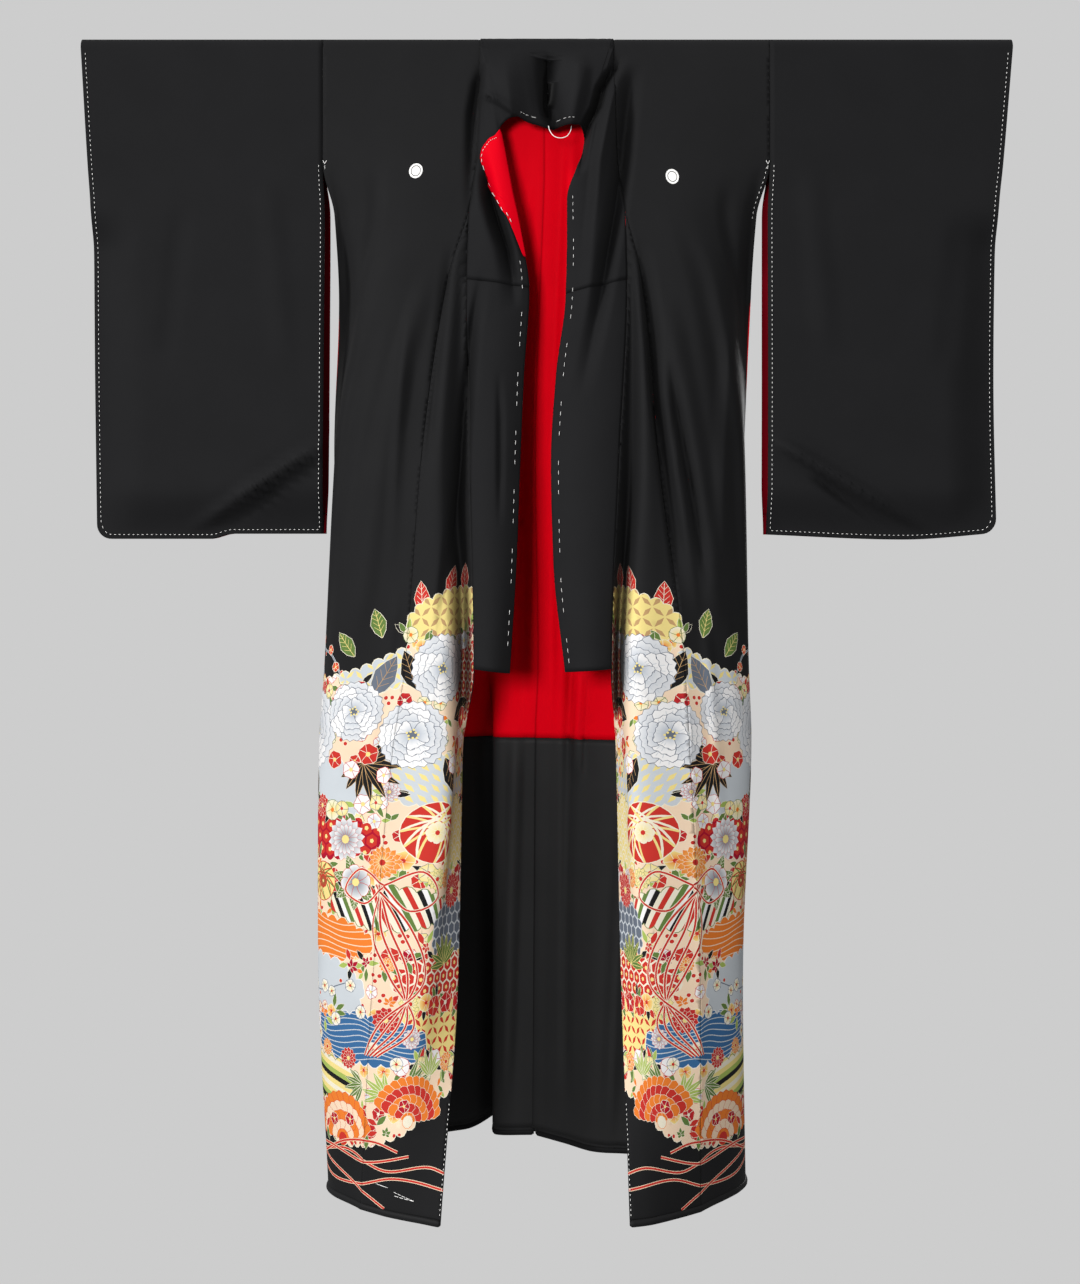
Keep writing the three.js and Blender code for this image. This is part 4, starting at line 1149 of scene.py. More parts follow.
def blossoms(page, dice):
    white = ("slate", "mist", "white", "yellow")
    for x, y, length, angle in (
        (350, 640, 60, 2.6), (360, 600, 54, 3.6), (520, 640, 64, 0.2), (500, 690, 60, 1.1),
        (620, 660, 60, 0.4),
        (560, 700, 56, 2.0), (410, 585, 50, 4.4), (600, 610, 54, 5.2),
    ):
        broad_leaf(page, x, y, length, angle, dice.choice(("black", "olive", "slate")), "ochre")
    spray(page, 350, 585, 62, 3.7, 9, "slate", "cream")
    spray(page, 500, 600, 60, 5.4, 9, "black", "ochre")
    peony(page, 596, 728, 46, white)
    peony(page, 400, 640, 54, white, 0.5)
    peony(page, 478, 668, 40, white, 0.9)
    peony(page, 560, 640, 44, white, 0.2)
    for x, y, r in (
        (655, 660, 15), (640, 622, 13), (505, 612, 14), (455, 602, 12), (340, 690, 12), (372, 702, 10),
    ):
        flower(page, x, y, r, 5, ("cream", "red", "red", "yellow"), x, 0.1, 1.1)
    for x, y, r in ((618, 600, 12), (668, 628, 11), (482, 590, 12), (328, 662, 12), (530, 585, 11)):
        flower(page, x, y, r, 5, ("red", "white", "white", "yellow"), y, 0.1, 1.1)
    ball(page, 596, 512, 40, ("red", "cream", "yellow", "cream"))
    ball(page, 345, 500, 34, ("white", "red", "olive", "red"), 0.3)
    ball(page, 440, 436, 26, ("yellow", "red", "olive", "red"), 0.8)
    chrysanthemum(page, 480, 496, 30, ("red", "slate", "white", "yellow"), 0.2)
    chrysanthemum(page, 540, 470, 22, ("cream", "yellow", "orange", "red"), 0.1)
    for k in range(5):
        broad_leaf(page, *spoke(500, 440, 8, 2 + k * 0.9), 30, 2 + k * 0.9, "olive", "cream")
    flower(page, 500, 440, 24, 8, ("red", "slate", "white", "yellow"), 0.2)
    chrysanthemum(page, 660, 430, 24, ("cream", "crimson", "red", "yellow"))
    chrysanthemum(page, 395, 408, 20, ("cream", "crimson", "red", "yellow"))
    spray(page, 650, 335, 46, 1.9, 7, "olive", "yellow")
    twig(page, [(300, 284), (360, 306), (430, 286), (500, 306)], dice, ("slate", "yellow", "white", "red"), 8)
    twig(page, [(320, 262), (390, 274), (450, 262)], dice, ("red", "yellow", "white", "red"), 7)
    for x, y, r in ((560, 262, 18), (500, 202, 15), (455, 210, 12), (598, 240, 14)):
        chrysanthemum(page, x, y, r, dice.choice(FULL_INKS), x, 12)
    for x, y in ((475, 252), (520, 268), (545, 222), (580, 205), (430, 226), (390, 214)):
        flower(page, x, y, 9, 5, ("slate", "yellow", "white", "red"), x, 0, 1.15)
    for x, y, length, angle in (
        (600, 176, 46, 0.4), (570, 160, 42, 2.6), (640, 190, 38, 1.6), (530, 170, 40, 3.4),
    ):
        spray(page, x, y, length, angle, 5, dice.choice(("olive", "green")), "cream")
    fan(page, 610, 130, 62, 1.5, 2.7, "orange", "red", "cream")
    fan(page, 360, 92, 74, 1.4, 2.8, "red", "orange", "cream")
    fan(page, 490, 88, 66, 1.7, 2.8, "orange", "peach", "red")
    for x, y in ((330, 110), (350, 130), (378, 116), (400, 100), (470, 112), (505, 118), (600, 150)):
        flower(page, x, y, 9, 5, ("cream", "red", "crimson", "yellow"), y, 0.12, 1.1)
    for x, y in ((425, 112), (445, 96), (545, 104), (560, 120)):
        leaf(page, x, y, 20, 9, x, "olive")
        leaf(page, x, y, 18, 8, x + 2, "red")


def cords(page):
    for k, swing in enumerate((0, 12, 22, 34, 46)):
        path = [(545 - 3 * k, 440), (533 + swing, 385), (560 + swing, 320), (598 - swing, 255), (552 - 5 * k, 212)]
        ribbon(page, path, 2.4)
    ribbon(page, [(545, 440), (505, 458), (485, 428), (515, 413), (545, 438)], 2.4)
    ribbon(page, [(545, 440), (585, 460), (610, 428), (575, 408), (545, 438)], 2.4)
    for path in (
        [(292, 66), (350, 78), (420, 62), (500, 76), (580, 60), (660, 72), (700, 64)],
        [(292, 56), (360, 44), (430, 58), (500, 88), (560, 96), (600, 88)],
        [(292, 46), (340, 56), (400, 50), (470, 30), (530, 34), (600, 52), (690, 46)],
        [(360, 84), (410, 66), (470, 48), (540, 26), (590, 10)],
        [(300, 22), (350, 36), (390, 60), (450, 74), (540, 66), (620, 84)],
    ):
        ribbon(page, path, 2.6, "red", "peach", 8)


CUT_EPSILON = 1e-4
STRAIGHT = 0.02
LONGEST = 9


def inside_of(outline, points):
    """Which points lie inside a closed outline."""
    x, y = points[:, 0][:, None], points[:, 1][:, None]
    x0, y0 = outline[:, 0], outline[:, 1]
    x1, y1 = np.roll(x0, -1), np.roll(y0, -1)
    level = (y0 > y) != (y1 > y)
    rise = np.where(y1 == y0, 1, y1 - y0)
    crossing = x0 + (y - y0) * (x1 - x0) / rise
    return (level & (x < crossing)).sum(axis=1) % 2 == 1


def cut_up(border, spread, outlines):
    """Cuts the area inside a border into triangles along every outline."""
    corners = [*map(tuple, border), *map(tuple, spread)]
    faces = [list(range(len(border)))]
    for outline in outlines:
        faces.append(list(range(len(corners), len(corners) + len(outline))))
        corners.extend(map(tuple, outline))
    cut = geometry.delaunay_2d_cdt([Vector(p) for p in corners], [], faces, 0, CUT_EPSILON, True)
    points, _, triangles, from_points, _, from_faces = cut
    kept = [(tri, owners) for tri, owners in zip(triangles, from_faces) if 0 in owners]
    used = sorted({k for tri, _ in kept for k in tri})
    place = {k: i for i, k in enumerate(used)}
    flat = np.array([points[k][:2] for k in used])
    return (
        flat,
        [tuple(place[k] for k in tri) for tri, _ in kept],
        [owners for _, owners in kept],
        [from_points[k] for k in used],
    )


def sides_of(triangle):
    return zip(triangle, triangle[1:] + triangle[:1])


def visible_edges(border, page, chosen):
    """Flat points, and the directed edges that part two inks with the ink on each one's left."""
    flat, triangles, owners, _ = cut_up(border, [], [page.outlines[k] for k in chosen])
    left = {}
    for triangle, ink in zip(triangles, top_inks(owners, chosen, page)):
        for edge in sides_of(triangle):
            left[edge] = ink
    shown = {edge: ink for edge, ink in left.items() if left.get(edge[::-1], "outside") != ink}
    near = {}
    for a, b in shown:
        near.setdefault(a, set()).add(b)
        near.setdefault(b, set()).add(a)
    for corner in list(near):
        straighten(corner, near, shown, flat)
    return flat, shown


def straighten(corner, near, shown, flat):
    """Takes out a corner that lies on a straight run between its only two neighbours."""
    if len(near[corner]) != 2:
        return
    a, b = near[corner]
    runs = [(a, corner), (corner, a), (corner, b), (b, corner)]
    if b in near[a] or any(run not in shown for run in runs):
        return
    along = flat[b] - flat[a]
    off = flat[corner] - flat[a]
    if abs(along[0] * off[1] - along[1] * off[0]) > STRAIGHT * np.hypot(*along):
        return
    shown[(a, b)], shown[(b, a)] = shown[(a, corner)], shown[(b, corner)]
    for run in runs:
        del shown[run]
    near[a].remove(corner)
    near[b].remove(corner)
    near[a].add(b)
    near[b].add(a)
    near[corner] = set()


def inked(border, spread, page, chosen):
    """The area inside a border as triangles, each with the ink that shows there."""
    flat, shown = visible_edges(border, page, chosen)
    used = sorted({k for edge in shown for k in edge})
    place = {k: i + len(border) for i, k in enumerate(used)}
    corners = [*map(tuple, border), *(tuple(flat[k]) for k in used), *map(tuple, spread)]
    sides = [(a, b) for a, b in shown if a < b or (b, a) not in shown]
    runs = [cut_run(place[a], place[b], corners) for a, b in sides]
    edges = [edge for run in runs for edge in zip(run, run[1:])]
    cut = geometry.delaunay_2d_cdt(
        [Vector(p) for p in corners], edges, [list(range(len(border)))], 0, CUT_EPSILON, True
    )
    points, cut_edges, triangles, from_points, from_edges, from_faces = cut
    found = {source: k for k, sources in enumerate(from_points) for source in sources}
    seeds = {}
    for (a, b), run in zip(sides, runs):
        for p, q in zip(run, run[1:]):
            seeds[(found[p], found[q])] = shown[(a, b)]
            if (b, a) in shown:
                seeds[(found[q], found[p])] = shown[(b, a)]
    walls = {frozenset(edge) for edge, sources in zip(cut_edges, from_edges) if sources}
    kept = [tuple(tri) for tri, owners in zip(triangles, from_faces) if owners]
    inks = filled(kept, seeds, walls)
    used = sorted({k for tri in kept for k in tri})
    place = {k: i for i, k in enumerate(used)}
    return np.array([points[k][:2] for k in used]), [tuple(place[k] for k in tri) for tri in kept], inks


def cut_run(a, b, corners):
    """A straight run in parts no longer than LONGEST. The points that cut it join the corners."""
    (x0, y0), (x1, y1) = corners[a], corners[b]
    count = max(1, math.ceil(math.hypot(x1 - x0, y1 - y0) / LONGEST))
    run = [a, *range(len(corners), len(corners) + count - 1), b]
    shares = [k / count for k in range(1, count)]
    corners.extend((x0 + (x1 - x0) * share, y0 + (y1 - y0) * share) for share in shares)
    return run


def filled(triangles, seeds, walls):
    """Spreads each seed edge's ink over its triangles as far as the walls."""
    owner = {edge: k for k, triangle in enumerate(triangles) for edge in sides_of(triangle)}
    inks = [None] * len(triangles)
    done = [False] * len(triangles)
    for seed, ink in seeds.items():
        waiting = [owner[seed]] if seed in owner else []
        while waiting:
            k = waiting.pop()
            if done[k]:
                continue
            done[k] = True
            inks[k] = ink
            for a, b in sides_of(triangles[k]):
                if frozenset((a, b)) not in walls and (b, a) in owner:
                    waiting.append(owner[(b, a)])
    return inks


def rim_edges(triangles):
    """The directed edges that only one triangle uses."""
    edges = {}
    for tri in triangles:
        for edge in sides_of(tri):
            edges[edge] = True
    return [(a, b) for a, b in edges if (b, a) not in edges]


def loop_of(edges):
    follow = dict(edges)
    start = edges[0][0]
    loop = [start]
    while follow[loop[-1]] != start:
        loop.append(follow[loop[-1]])
    return loop


def top_inks(owners, chosen, page):
    """For each triangle the topmost ink that shows there, or None for bare cloth."""
    found = []
    for own in owners:
        have = {chosen[k - 1] for k in own if k > 0}
        shown = (page.inks[k] for k in sorted(have, reverse=True) if page.lies_on(k, have))
        found.append(next(shown, None))
    return found


def corner_colours(triangles, flat, inks, ground):
    colours = np.empty((len(triangles), 3, 4))
    colours[:, :, 3] = 1
    for tri, ink, out in zip(triangles, inks, colours):
        if ink is None:
            out[:, :3] = ground
        elif len(ink) == 3:
            out[:, :3] = ink
        else:
            inner, outer, (x, y), radius = ink
            for k, corner in enumerate(tri):
                share = min(1.0, math.hypot(flat[corner][0] - x, flat[corner][1] - y) / radius)
                out[k, :3] = [a + (b - a) * share for a, b in zip(inner, outer)]
    return colours.reshape(-1, 4)


def spread_in(border, rows, step, fine):
    """Mesh points inside a border: columns a step apart, and half a step where the folds are fine."""
    low, high = border[:, 0].min(), border[:, 0].max()
    places = []
    for q in rows:
        gap = step / 2 if fine(q) else step
        places.extend((p, q) for p in np.arange(low + gap / 2, high, gap))
    grid = np.array(places)
    return grid[inside_of(grown(border, -step * 0.2), grid)]


def closer(points, step):
    """A closed outline with more points, none further apart than a step."""
    out = []
    for a, b in zip(points, np.roll(points, -1, axis=0)):
        count = max(1, math.ceil(np.linalg.norm(b - a) / step))
        out.extend(a + (b - a) * k / count for k in range(count))
    return np.array(out)


def inner_rim(loop, from_points):
    """The inner layer's point that lies under each point of the rim."""
    return {
        loop[source]: k
        for k, sources in enumerate(from_points) for source in sources if source < len(loop)
    }

def printed_panel(name, surface, border, rows, step, fine, page, turn, materials, is_upper, **facts):
    """A closed thin shell of one panel: its outside cut up along the print, its inside plain.

    The print's shapes are already in the panel's own flat places."""
    low, high = border.min(axis=0), border.max(axis=0)
    spread = spread_in(border, rows, step, fine)
    chosen = page.within(low, high)
    flat, triangles, inks = inked(border, spread, page, chosen)
    loop = loop_of(rim_edges(triangles))
    back_flat, back_tris, _, from_points = cut_up(flat[loop], spread, [])
    under = inner_rim(loop, from_points)
    front, front_normals = on_surface(surface, flat)
    back, back_normals = on_surface(surface, back_flat)
    points = np.concatenate([front + turn * front_normals * SHELL / 2, back - turn * back_normals * INSIDE])
    start = len(front)
    faces = list(triangles)
    colours = corner_colours(triangles, flat, inks, INK["black"])
    plain = np.array([*INK["black"], 1.0])
    kinds = [0] * len(faces)
    for tri in back_tris:
        faces.append(tuple(start + k for k in tri[::-1]))
        kinds.append(1 if is_upper(back_flat[list(tri)].mean(axis=0)) else 2)
    for a, b in zip(loop, loop[1:] + loop[:1]):
        faces.append((b, a, start + under[a], start + under[b]))
        kinds.append(0)
    spare = 3 * len(back_tris) + 4 * len(loop)
    colours = np.concatenate([colours, np.tile(plain, (spare, 1))])
    if turn < 0:
        faces = [face[::-1] for face in faces]
        colours = flip_corners(colours, faces)
    places = np.concatenate([flat, back_flat])
    return piece(name, points, faces, materials, kinds, places, colours, **facts)


def flip_corners(colours, faces):
    out, at = [], 0
    for face in faces:
        out.append(colours[at:at + len(face)][::-1])
        at += len(face)
    return np.concatenate(out)


NUDGE = 0.4


def on_surface(surface, flat):
    """Points and normals of a surface at flat places."""
    p, q = flat[:, 0], flat[:, 1]
    across = surface(p + NUDGE, q) - surface(p - NUDGE, q)
    along = surface(p, q + NUDGE) - surface(p, q - NUDGE)
    return surface(p, q), unit(np.cross(across, along))


INK_STRENGTH = 0.74


def material(
    name, colour, roughness, sheen=0.0, scale=1400.0, depth=0.15, printed=False, patchy=0.12, gloss=0.1,
    painted_fold_shade=0.6,
):
    """Woven cloth: fine threads both ways in the bump, and colour that varies softly. Ambient occlusion darkens
    the colour in folds and creases, painted shade that its last argument, a power, makes deeper."""
    made = bpy.data.materials.new(name)
    made.use_nodes = True
    nodes, links = made.node_tree.nodes, made.node_tree.links
    shader = nodes["Principled BSDF"]
    shader.inputs["Roughness"].default_value = roughness
    shader.inputs["Sheen Weight"].default_value = sheen
    shader.inputs["Sheen Roughness"].default_value = 0.5
    shader.inputs["Specular IOR Level"].default_value = gloss
    place = nodes.new("ShaderNodeUVMap")
    place.uv_map = "cloth"
    threads = []
    for turn in (0, math.pi / 2):
        mapping = nodes.new("ShaderNodeMapping")
        mapping.inputs["Rotation"].default_value = (0, 0, turn)
        links.new(place.outputs["UV"], mapping.inputs["Vector"])
        wave = nodes.new("ShaderNodeTexWave")
        wave.inputs["Scale"].default_value = scale / 6.28
        wave.inputs["Distortion"].default_value = 2.5
        wave.inputs["Detail"].default_value = 2.0
        wave.inputs["Detail Scale"].default_value = 1.5
        links.new(mapping.outputs["Vector"], wave.inputs["Vector"])
        threads.append(wave)
    weave = nodes.new("ShaderNodeMath")
    weave.operation = "MAXIMUM"
    links.new(threads[0].outputs["Fac"], weave.inputs[0])
    links.new(threads[1].outputs["Fac"], weave.inputs[1])
    grain = nodes.new("ShaderNodeTexNoise")
    grain.inputs["Scale"].default_value = 900.0
    grain.inputs["Detail"].default_value = 3.0
    links.new(place.outputs["UV"], grain.inputs["Vector"])
    height = nodes.new("ShaderNodeMath")
    height.operation = "ADD"
    links.new(weave.outputs[0], height.inputs[0])
    links.new(grain.outputs["Fac"], height.inputs[1])
    bump = nodes.new("ShaderNodeBump")
    bump.inputs["Strength"].default_value = depth
    bump.inputs["Distance"].default_value = 0.0004
    links.new(height.outputs[0], bump.inputs["Height"])
    links.new(bump.outputs["Normal"], shader.inputs["Normal"])
    patches = nodes.new("ShaderNodeTexNoise")
    patches.inputs["Scale"].default_value = 14.0
    patches.inputs["Detail"].default_value = 4.0
    links.new(place.outputs["UV"], patches.inputs["Vector"])
    tone = nodes.new("ShaderNodeMapRange")
    strength = INK_STRENGTH if printed else 1
    tone.inputs["To Min"].default_value = strength * (1 - patchy)
    tone.inputs["To Max"].default_value = strength * (1 + patchy)
    links.new(patches.outputs["Fac"], tone.inputs["Value"])
    shade = nodes.new("ShaderNodeMix")
    shade.data_type = "RGBA"
    shade.blend_type = "MULTIPLY"
    shade.inputs["Factor"].default_value = 1.0
    if printed:
        ink = nodes.new("ShaderNodeVertexColor")
        ink.layer_name = "print"
        links.new(ink.outputs["Color"], shade.inputs["A"])
    else:
        shade.inputs["A"].default_value = (*colour, 1)
    # Painted shade: ambient occlusion darkens the base colour in folds, creases and between layers.
    painted_shade_occlusion = nodes.new("ShaderNodeAmbientOcclusion")
    painted_shade_occlusion.samples = 8
    painted_shade_occlusion.inputs["Distance"].default_value = 0.03
    painted_shade_depth = nodes.new("ShaderNodeMath")
    painted_shade_depth.operation = "POWER"
    painted_shade_depth.inputs[1].default_value = painted_fold_shade
    links.new(painted_shade_occlusion.outputs["AO"], painted_shade_depth.inputs[0])
    both = nodes.new("ShaderNodeMath")
    both.operation = "MULTIPLY"
    links.new(painted_shade_depth.outputs[0], both.inputs[0])
    links.new(tone.outputs["Result"], both.inputs[1])
    links.new(both.outputs[0], shade.inputs["B"])
    links.new(shade.outputs["Result"], shader.inputs["Base Color"])
    return made


def wood_material():
    made = bpy.data.materials.new("rod_wood")
    made.use_nodes = True
    nodes, links = made.node_tree.nodes, made.node_tree.links
    shader = nodes["Principled BSDF"]
    shader.inputs["Roughness"].default_value = 0.45
    place = nodes.new("ShaderNodeTexCoord")
    mapping = nodes.new("ShaderNodeMapping")
    mapping.inputs["Scale"].default_value = (2, 60, 60)
    grain = nodes.new("ShaderNodeTexNoise")
    grain.inputs["Scale"].default_value = 4.0
    grain.inputs["Detail"].default_value = 6.0
    ramp = nodes.new("ShaderNodeValToRGB")
    ramp.color_ramp.elements[0].color = (0.30, 0.17, 0.08, 1)
    ramp.color_ramp.elements[1].color = (0.62, 0.43, 0.25, 1)
    links.new(place.outputs["Object"], mapping.inputs["Vector"])
    links.new(mapping.outputs["Vector"], grain.inputs["Vector"])
    links.new(grain.outputs["Fac"], ramp.inputs["Fac"])
    links.new(ramp.outputs["Color"], shader.inputs["Base Color"])
    bump = nodes.new("ShaderNodeBump")
    bump.inputs["Strength"].default_value = 0.2
    bump.inputs["Distance"].default_value = 0.0003
    links.new(grain.outputs["Fac"], bump.inputs["Height"])
    links.new(bump.outputs["Normal"], shader.inputs["Normal"])
    return made


def body_border():
    """The body strip's flat outline: across from the side seam, along back from the shoulder."""
    end = SHOULDER_ARC - WALL_END_Z
    kink = SHOULDER_ARC - OVERLAP_TOP_Z
    front = OVERLAP_SEAM - SIDE_SEAM - TOUCH
    neck = [(SIDE_SEAM - inner_edge(1, drop), drop) for drop in np.linspace(0, NECK_DROP, 14)[:-1]]
    corners = [(0, -end), (front, -end), (front, -kink), *neck]
    corners += [(SIDE_SEAM - TOUCH, NECK_DROP), (SIDE_SEAM - TOUCH, end), (0, end)]
    return closer(np.array(corners), RIM_STEP)


def body_rows():
    end = SHOULDER_ARC - WALL_END_Z
    return np.concatenate([
        np.arange(-end + 5, -30, 10), np.linspace(-26, 26, 19), np.arange(34, end - 4, 10)
    ])


def moved_page(page, across, along):
    """The same print with its shapes moved to a panel's own flat places."""
    out = Print()
    out.parents = page.parents
    for outline, ink in zip(page.outlines, page.inks):
        out.outlines.append(outline + (across, along))
        if len(ink) == 4:
            inner, outer, (x, y), radius = ink
            ink = (inner, outer, (x + across, y + along), radius)
        out.inks.append(ink)
    return out


def make_side(side, page, looks):
    name = side["name"]
    turn = -side["sign"]
    crepe = [looks["print"], looks["red"], looks["hem"]]
    along = SHOULDER_ARC - HEM_Z

    def body_upper(place):
        return SHOULDER_ARC - abs(place[1]) > LINING_SEAM_Z

    body = printed_panel(
        f"body_cloth_{name}", lambda p, q: body_at(side, p, q), body_border(), body_rows(), MESH_STEP,
        lambda q: FINE_END_Z < q < 0, moved_page(page, -SIDE_SEAM, -along), turn, crepe, body_upper,
        nodes=[f"body_{name}"], slot="crepe",
    )
    overlap = printed_panel(
        f"okumi_cloth_{name}", lambda p, q: overlap_at(side, p, q), overlap_border(), overlap_rows(), MESH_STEP,
        lambda q: q > FINE_END_Z, moved_page(page, -OVERLAP_SEAM, HEM_Z), turn, crepe,
        lambda place: place[1] > LINING_SEAM_Z,
        nodes=[f"okumi_{name}"], slot="crepe",
    )
    make_sleeve(side, looks)
    make_linings(side, looks)
    make_roll(side, looks)


def overlap_border():
    levels = np.concatenate([np.arange(WALL_END_Z, OVERLAP_START_Z, 9), [OVERLAP_START_Z]])
    seam = [(TOUCH, z) for z in levels[::-1]]
    edge = [(float(overlap_width(z)), z) for z in levels]
    bottom = [(p, WALL_END_Z) for p in np.linspace(TOUCH, OVERLAP_WIDTH, 18)[1:-1]]
    return np.array(seam + bottom + edge)


def overlap_rows():
    return np.arange(WALL_END_Z + 5, OVERLAP_START_Z - 4, 9)


def make_sleeve(side, looks):
    name = side["name"]
    end = SHOULDER_ARC + SLEEVE_DEPTH
    near = np.linspace(0, 1, 9)
    rows = np.concatenate([
        -end + 40 * near[:-1] ** 1.5, np.arange(-end + 40, -26, 9), np.linspace(-24, 24, 17),
        np.arange(32, end - 40, 9), end - 40 * near[::-1] ** 1.5,
    ])
    rounding = np.sin(np.linspace(0, math.pi / 2, 10))[1:]
    shares = np.concatenate([np.linspace(0, 0.92, 40), 0.92 + 0.08 * rounding])
    grid = sleeve_at(side, shares[None, :], rows[:, None])
    if side["sign"] > 0:
        grid = grid[:, ::-1]
    flat = np.stack(np.meshgrid(shares * SLEEVE_WIDTH, rows), axis=-1)
    # The sleeve's inside layer and its lining strips take the darker red copy, which is painted shade.
    made = shell(
        f"sleeve_cloth_{name}", grid, SHELL, [looks["crepe"], looks["shade"]], flat, 1,
        nodes=[f"sleeve_{name}"], slot="crepe",
    )
    shares = np.linspace(0, SLEEVE_LINING_SHARE, 7)
    lining_end = SHOULDER_ARC + SLEEVE_LINING_END * SLEEVE_DEPTH
    rows = np.arange(SHOULDER_ARC + SLEEVE_LINING_START, lining_end, 9)
    grid = sleeve_at(side, shares[None, :], rows[:, None])
    lining = moved_out(grid, side["sign"] * UNDER_CREPE)
    flat = np.stack(np.meshgrid(shares * SLEEVE_WIDTH, rows), axis=-1)
    made = shell(
        f"sleeve_lining_cloth_{name}", lining, LINING_SHELL, [looks["shade"]], flat,
        nodes=[f"sleeve_lining_{name}"], slot="red_silk",
    )


PLEAT = 3.5
PLEAT_RISE = 2.2
PLEAT_WIDTH = 22


def make_linings(side, looks):
    """The red back lining above the dark hem lining. The right ones lap over the centre seam."""
    name = side["name"]
    start = TOUCH if side["sign"] < 0 else -PLEAT
    across = np.concatenate([np.linspace(start, 40, 14), np.linspace(44, SIDE_SEAM - 3.6, 40)])
    pleat = PLEAT_RISE * ease(1 - across / PLEAT_WIDTH) if side["sign"] > 0 else 0 * across
    for piece_name, node, top, bottom, key, slot in (
        ("back_lining_cloth", "back_lining", LINING_TOP_Z, LINING_SEAM_Z + GAP, "red", "red_silk"),
        ("hem_lining_cloth", "hem_lining", LINING_SEAM_Z - GAP, LINING_END_Z, "hem", "hem_silk"),
    ):
        heights = np.linspace(top, bottom, int((top - bottom) / 9) + 2)
        drops = SHOULDER_ARC - heights
        grid = body_at(side, (SIDE_SEAM - across)[None, :], drops[:, None])
        lining = moved_out(grid, side["sign"] * (UNDER_CREPE + pleat)[None, :, None])
        flat = np.stack(np.meshgrid(across, -heights), axis=-1)
        made = shell(
            f"{piece_name}_{name}", lining, LINING_SHELL, [looks[key]], flat,
            nodes=[f"{node}_{name}"], slot=slot,
        )


def make_roll(side, looks):
    """The padded hem roll, slightly puckered along its stitches."""
    drop = SHOULDER_ARC - HEM_Z
    back = body_at(side, SIDE_SEAM - np.linspace(1.9, SIDE_SEAM, 80), np.full(80, drop))
    front = body_at(side, np.linspace(0, OVERLAP_SEAM - SIDE_SEAM, 60)[1:], np.full(59, -drop))
    overlap = overlap_at(side, np.linspace(0, OVERLAP_WIDTH, 40)[1:], np.full(39, HEM_Z))
    path = np.concatenate([back, front, overlap])
    ahead = np.gradient(path, axis=0)
    across = unit(np.stack([ahead[:, 1], -ahead[:, 0], np.zeros(len(path))], axis=1))
    turns = np.linspace(0, 2 * math.pi, 17)[:-1]
    way = lengths_along(path)
    pucker = 1 + 0.05 * np.sin(way / 5.5) + 0.03 * np.sin(way / 2.3)
    ends = np.clip(np.minimum(way + 0.8, way[-1] + 0.8 - way) / 4, 0.3, 1) ** 0.5
    rings = []
    for point, side_way, plump, end in zip(path, across, pucker, ends):
        ring = point + side_way * (ROLL_HALF_DEPTH * plump * end * np.cos(turns))[:, None]
        ring[:, 2] = point[2] + ROLL_HALF_HEIGHT * (1 + end * np.sin(turns))
        rings.append(ring)
    count, sides = len(rings), len(turns)
    faces = [
        (i * sides + k, (i + 1) * sides + k, (i + 1) * sides + (k + 1) % sides, i * sides + (k + 1) % sides)
        for i in range(count - 1) for k in range(sides)
    ]
    faces += [tuple(range(sides)), tuple(range((count - 1) * sides, count * sides))[::-1]]
    if side["sign"] > 0:
        faces = [face[::-1] for face in faces]
    flat = np.stack([np.repeat(way, sides), np.tile(turns * 4, count)], axis=1)
    piece(
        f"hem_roll_cloth_{side['name']}", np.concatenate(rings), faces, [looks["roll"]], None, flat,
        nodes=[f"hem_roll_{side['name']}"], slot="hem_silk",
    )


def make_collar(looks):
    drops = np.concatenate([np.arange(868, 30, -7.0), np.linspace(30, -25, 34)])
    shares = np.linspace(0, 1, 31)
    rows = [collar_row(LEFT, drop, shares) for drop in drops]
    rows += [collar_row(RIGHT, drop, shares) for drop in drops[::-1]]
    band_grid = np.array(rows)
    places = np.concatenate([-drops, drops[::-1] + 51])
    flat = np.stack(np.meshgrid(shares * COLLAR_WIDTH, places), axis=-1)
    made = shell(
        "collar_cloth", band_grid, COLLAR_SHELL, [looks["crepe"]], flat,
        nodes=["collar"], slot="crepe",
    )
    first = int(np.argmax(drops <= SHOULDER_ARC - OVER_COLLAR_END_Z))
    over = moved_out(band_grid, -OVER_COLLAR_STEP)[first:len(rows) - first]
    made = shell(
        "over_collar_cloth", over, OVER_COLLAR, [looks["crepe"]], flat[first:len(rows) - first],
        nodes=["over_collar"], slot="crepe",
    )
    drops = np.linspace(FACING[0][0], FACING[-1][0], 40)
    starts = curve([row[0] for row in FACING], [row[1] for row in FACING], drops)
    across = np.linspace(0, 1, 16)
    facing = np.array([
        collar_row(LEFT, drop, start + (0.995 - start) * across) for drop, start in zip(drops, starts)
    ])
    flat = np.stack(np.meshgrid(np.linspace(0, 60, 16), drops), axis=-1)
    made = shell(
        "collar_facing_cloth", moved_out(facing, FACING_STEP), LINING_SHELL, [looks["facing"]], flat,
        nodes=["collar_lining_left"], slot="red_silk",
    )


STITCH_RINGS = [(0.0, 0.5, -0.3), (0.12, 0.9, 0.6), (0.5, 1.0, 1.0), (0.88, 0.9, 0.6), (1.0, 0.5, -0.3)]
STITCH_SIDES = 6
THREAD = 0.42
THREAD_LIFT = SHELL / 2 + 0.2

# Pitch and length of the basting, how far it lies inside the sleeve's edge, and its bend's radius
BASTING = (6.6, 2.8)
SLEEVE_BASTING_INSET = 5.8
SLEEVE_BASTING_BEND = 14

# A crest's rings of points, from the middle out. The ring of faces after the second is dark.
CREST_RADII = [3.2, 6.6, 7.6, 10.4]
CREST_DARK_RING = 1
CREST_SIDES = 32
CREST_LIFT = 0.12


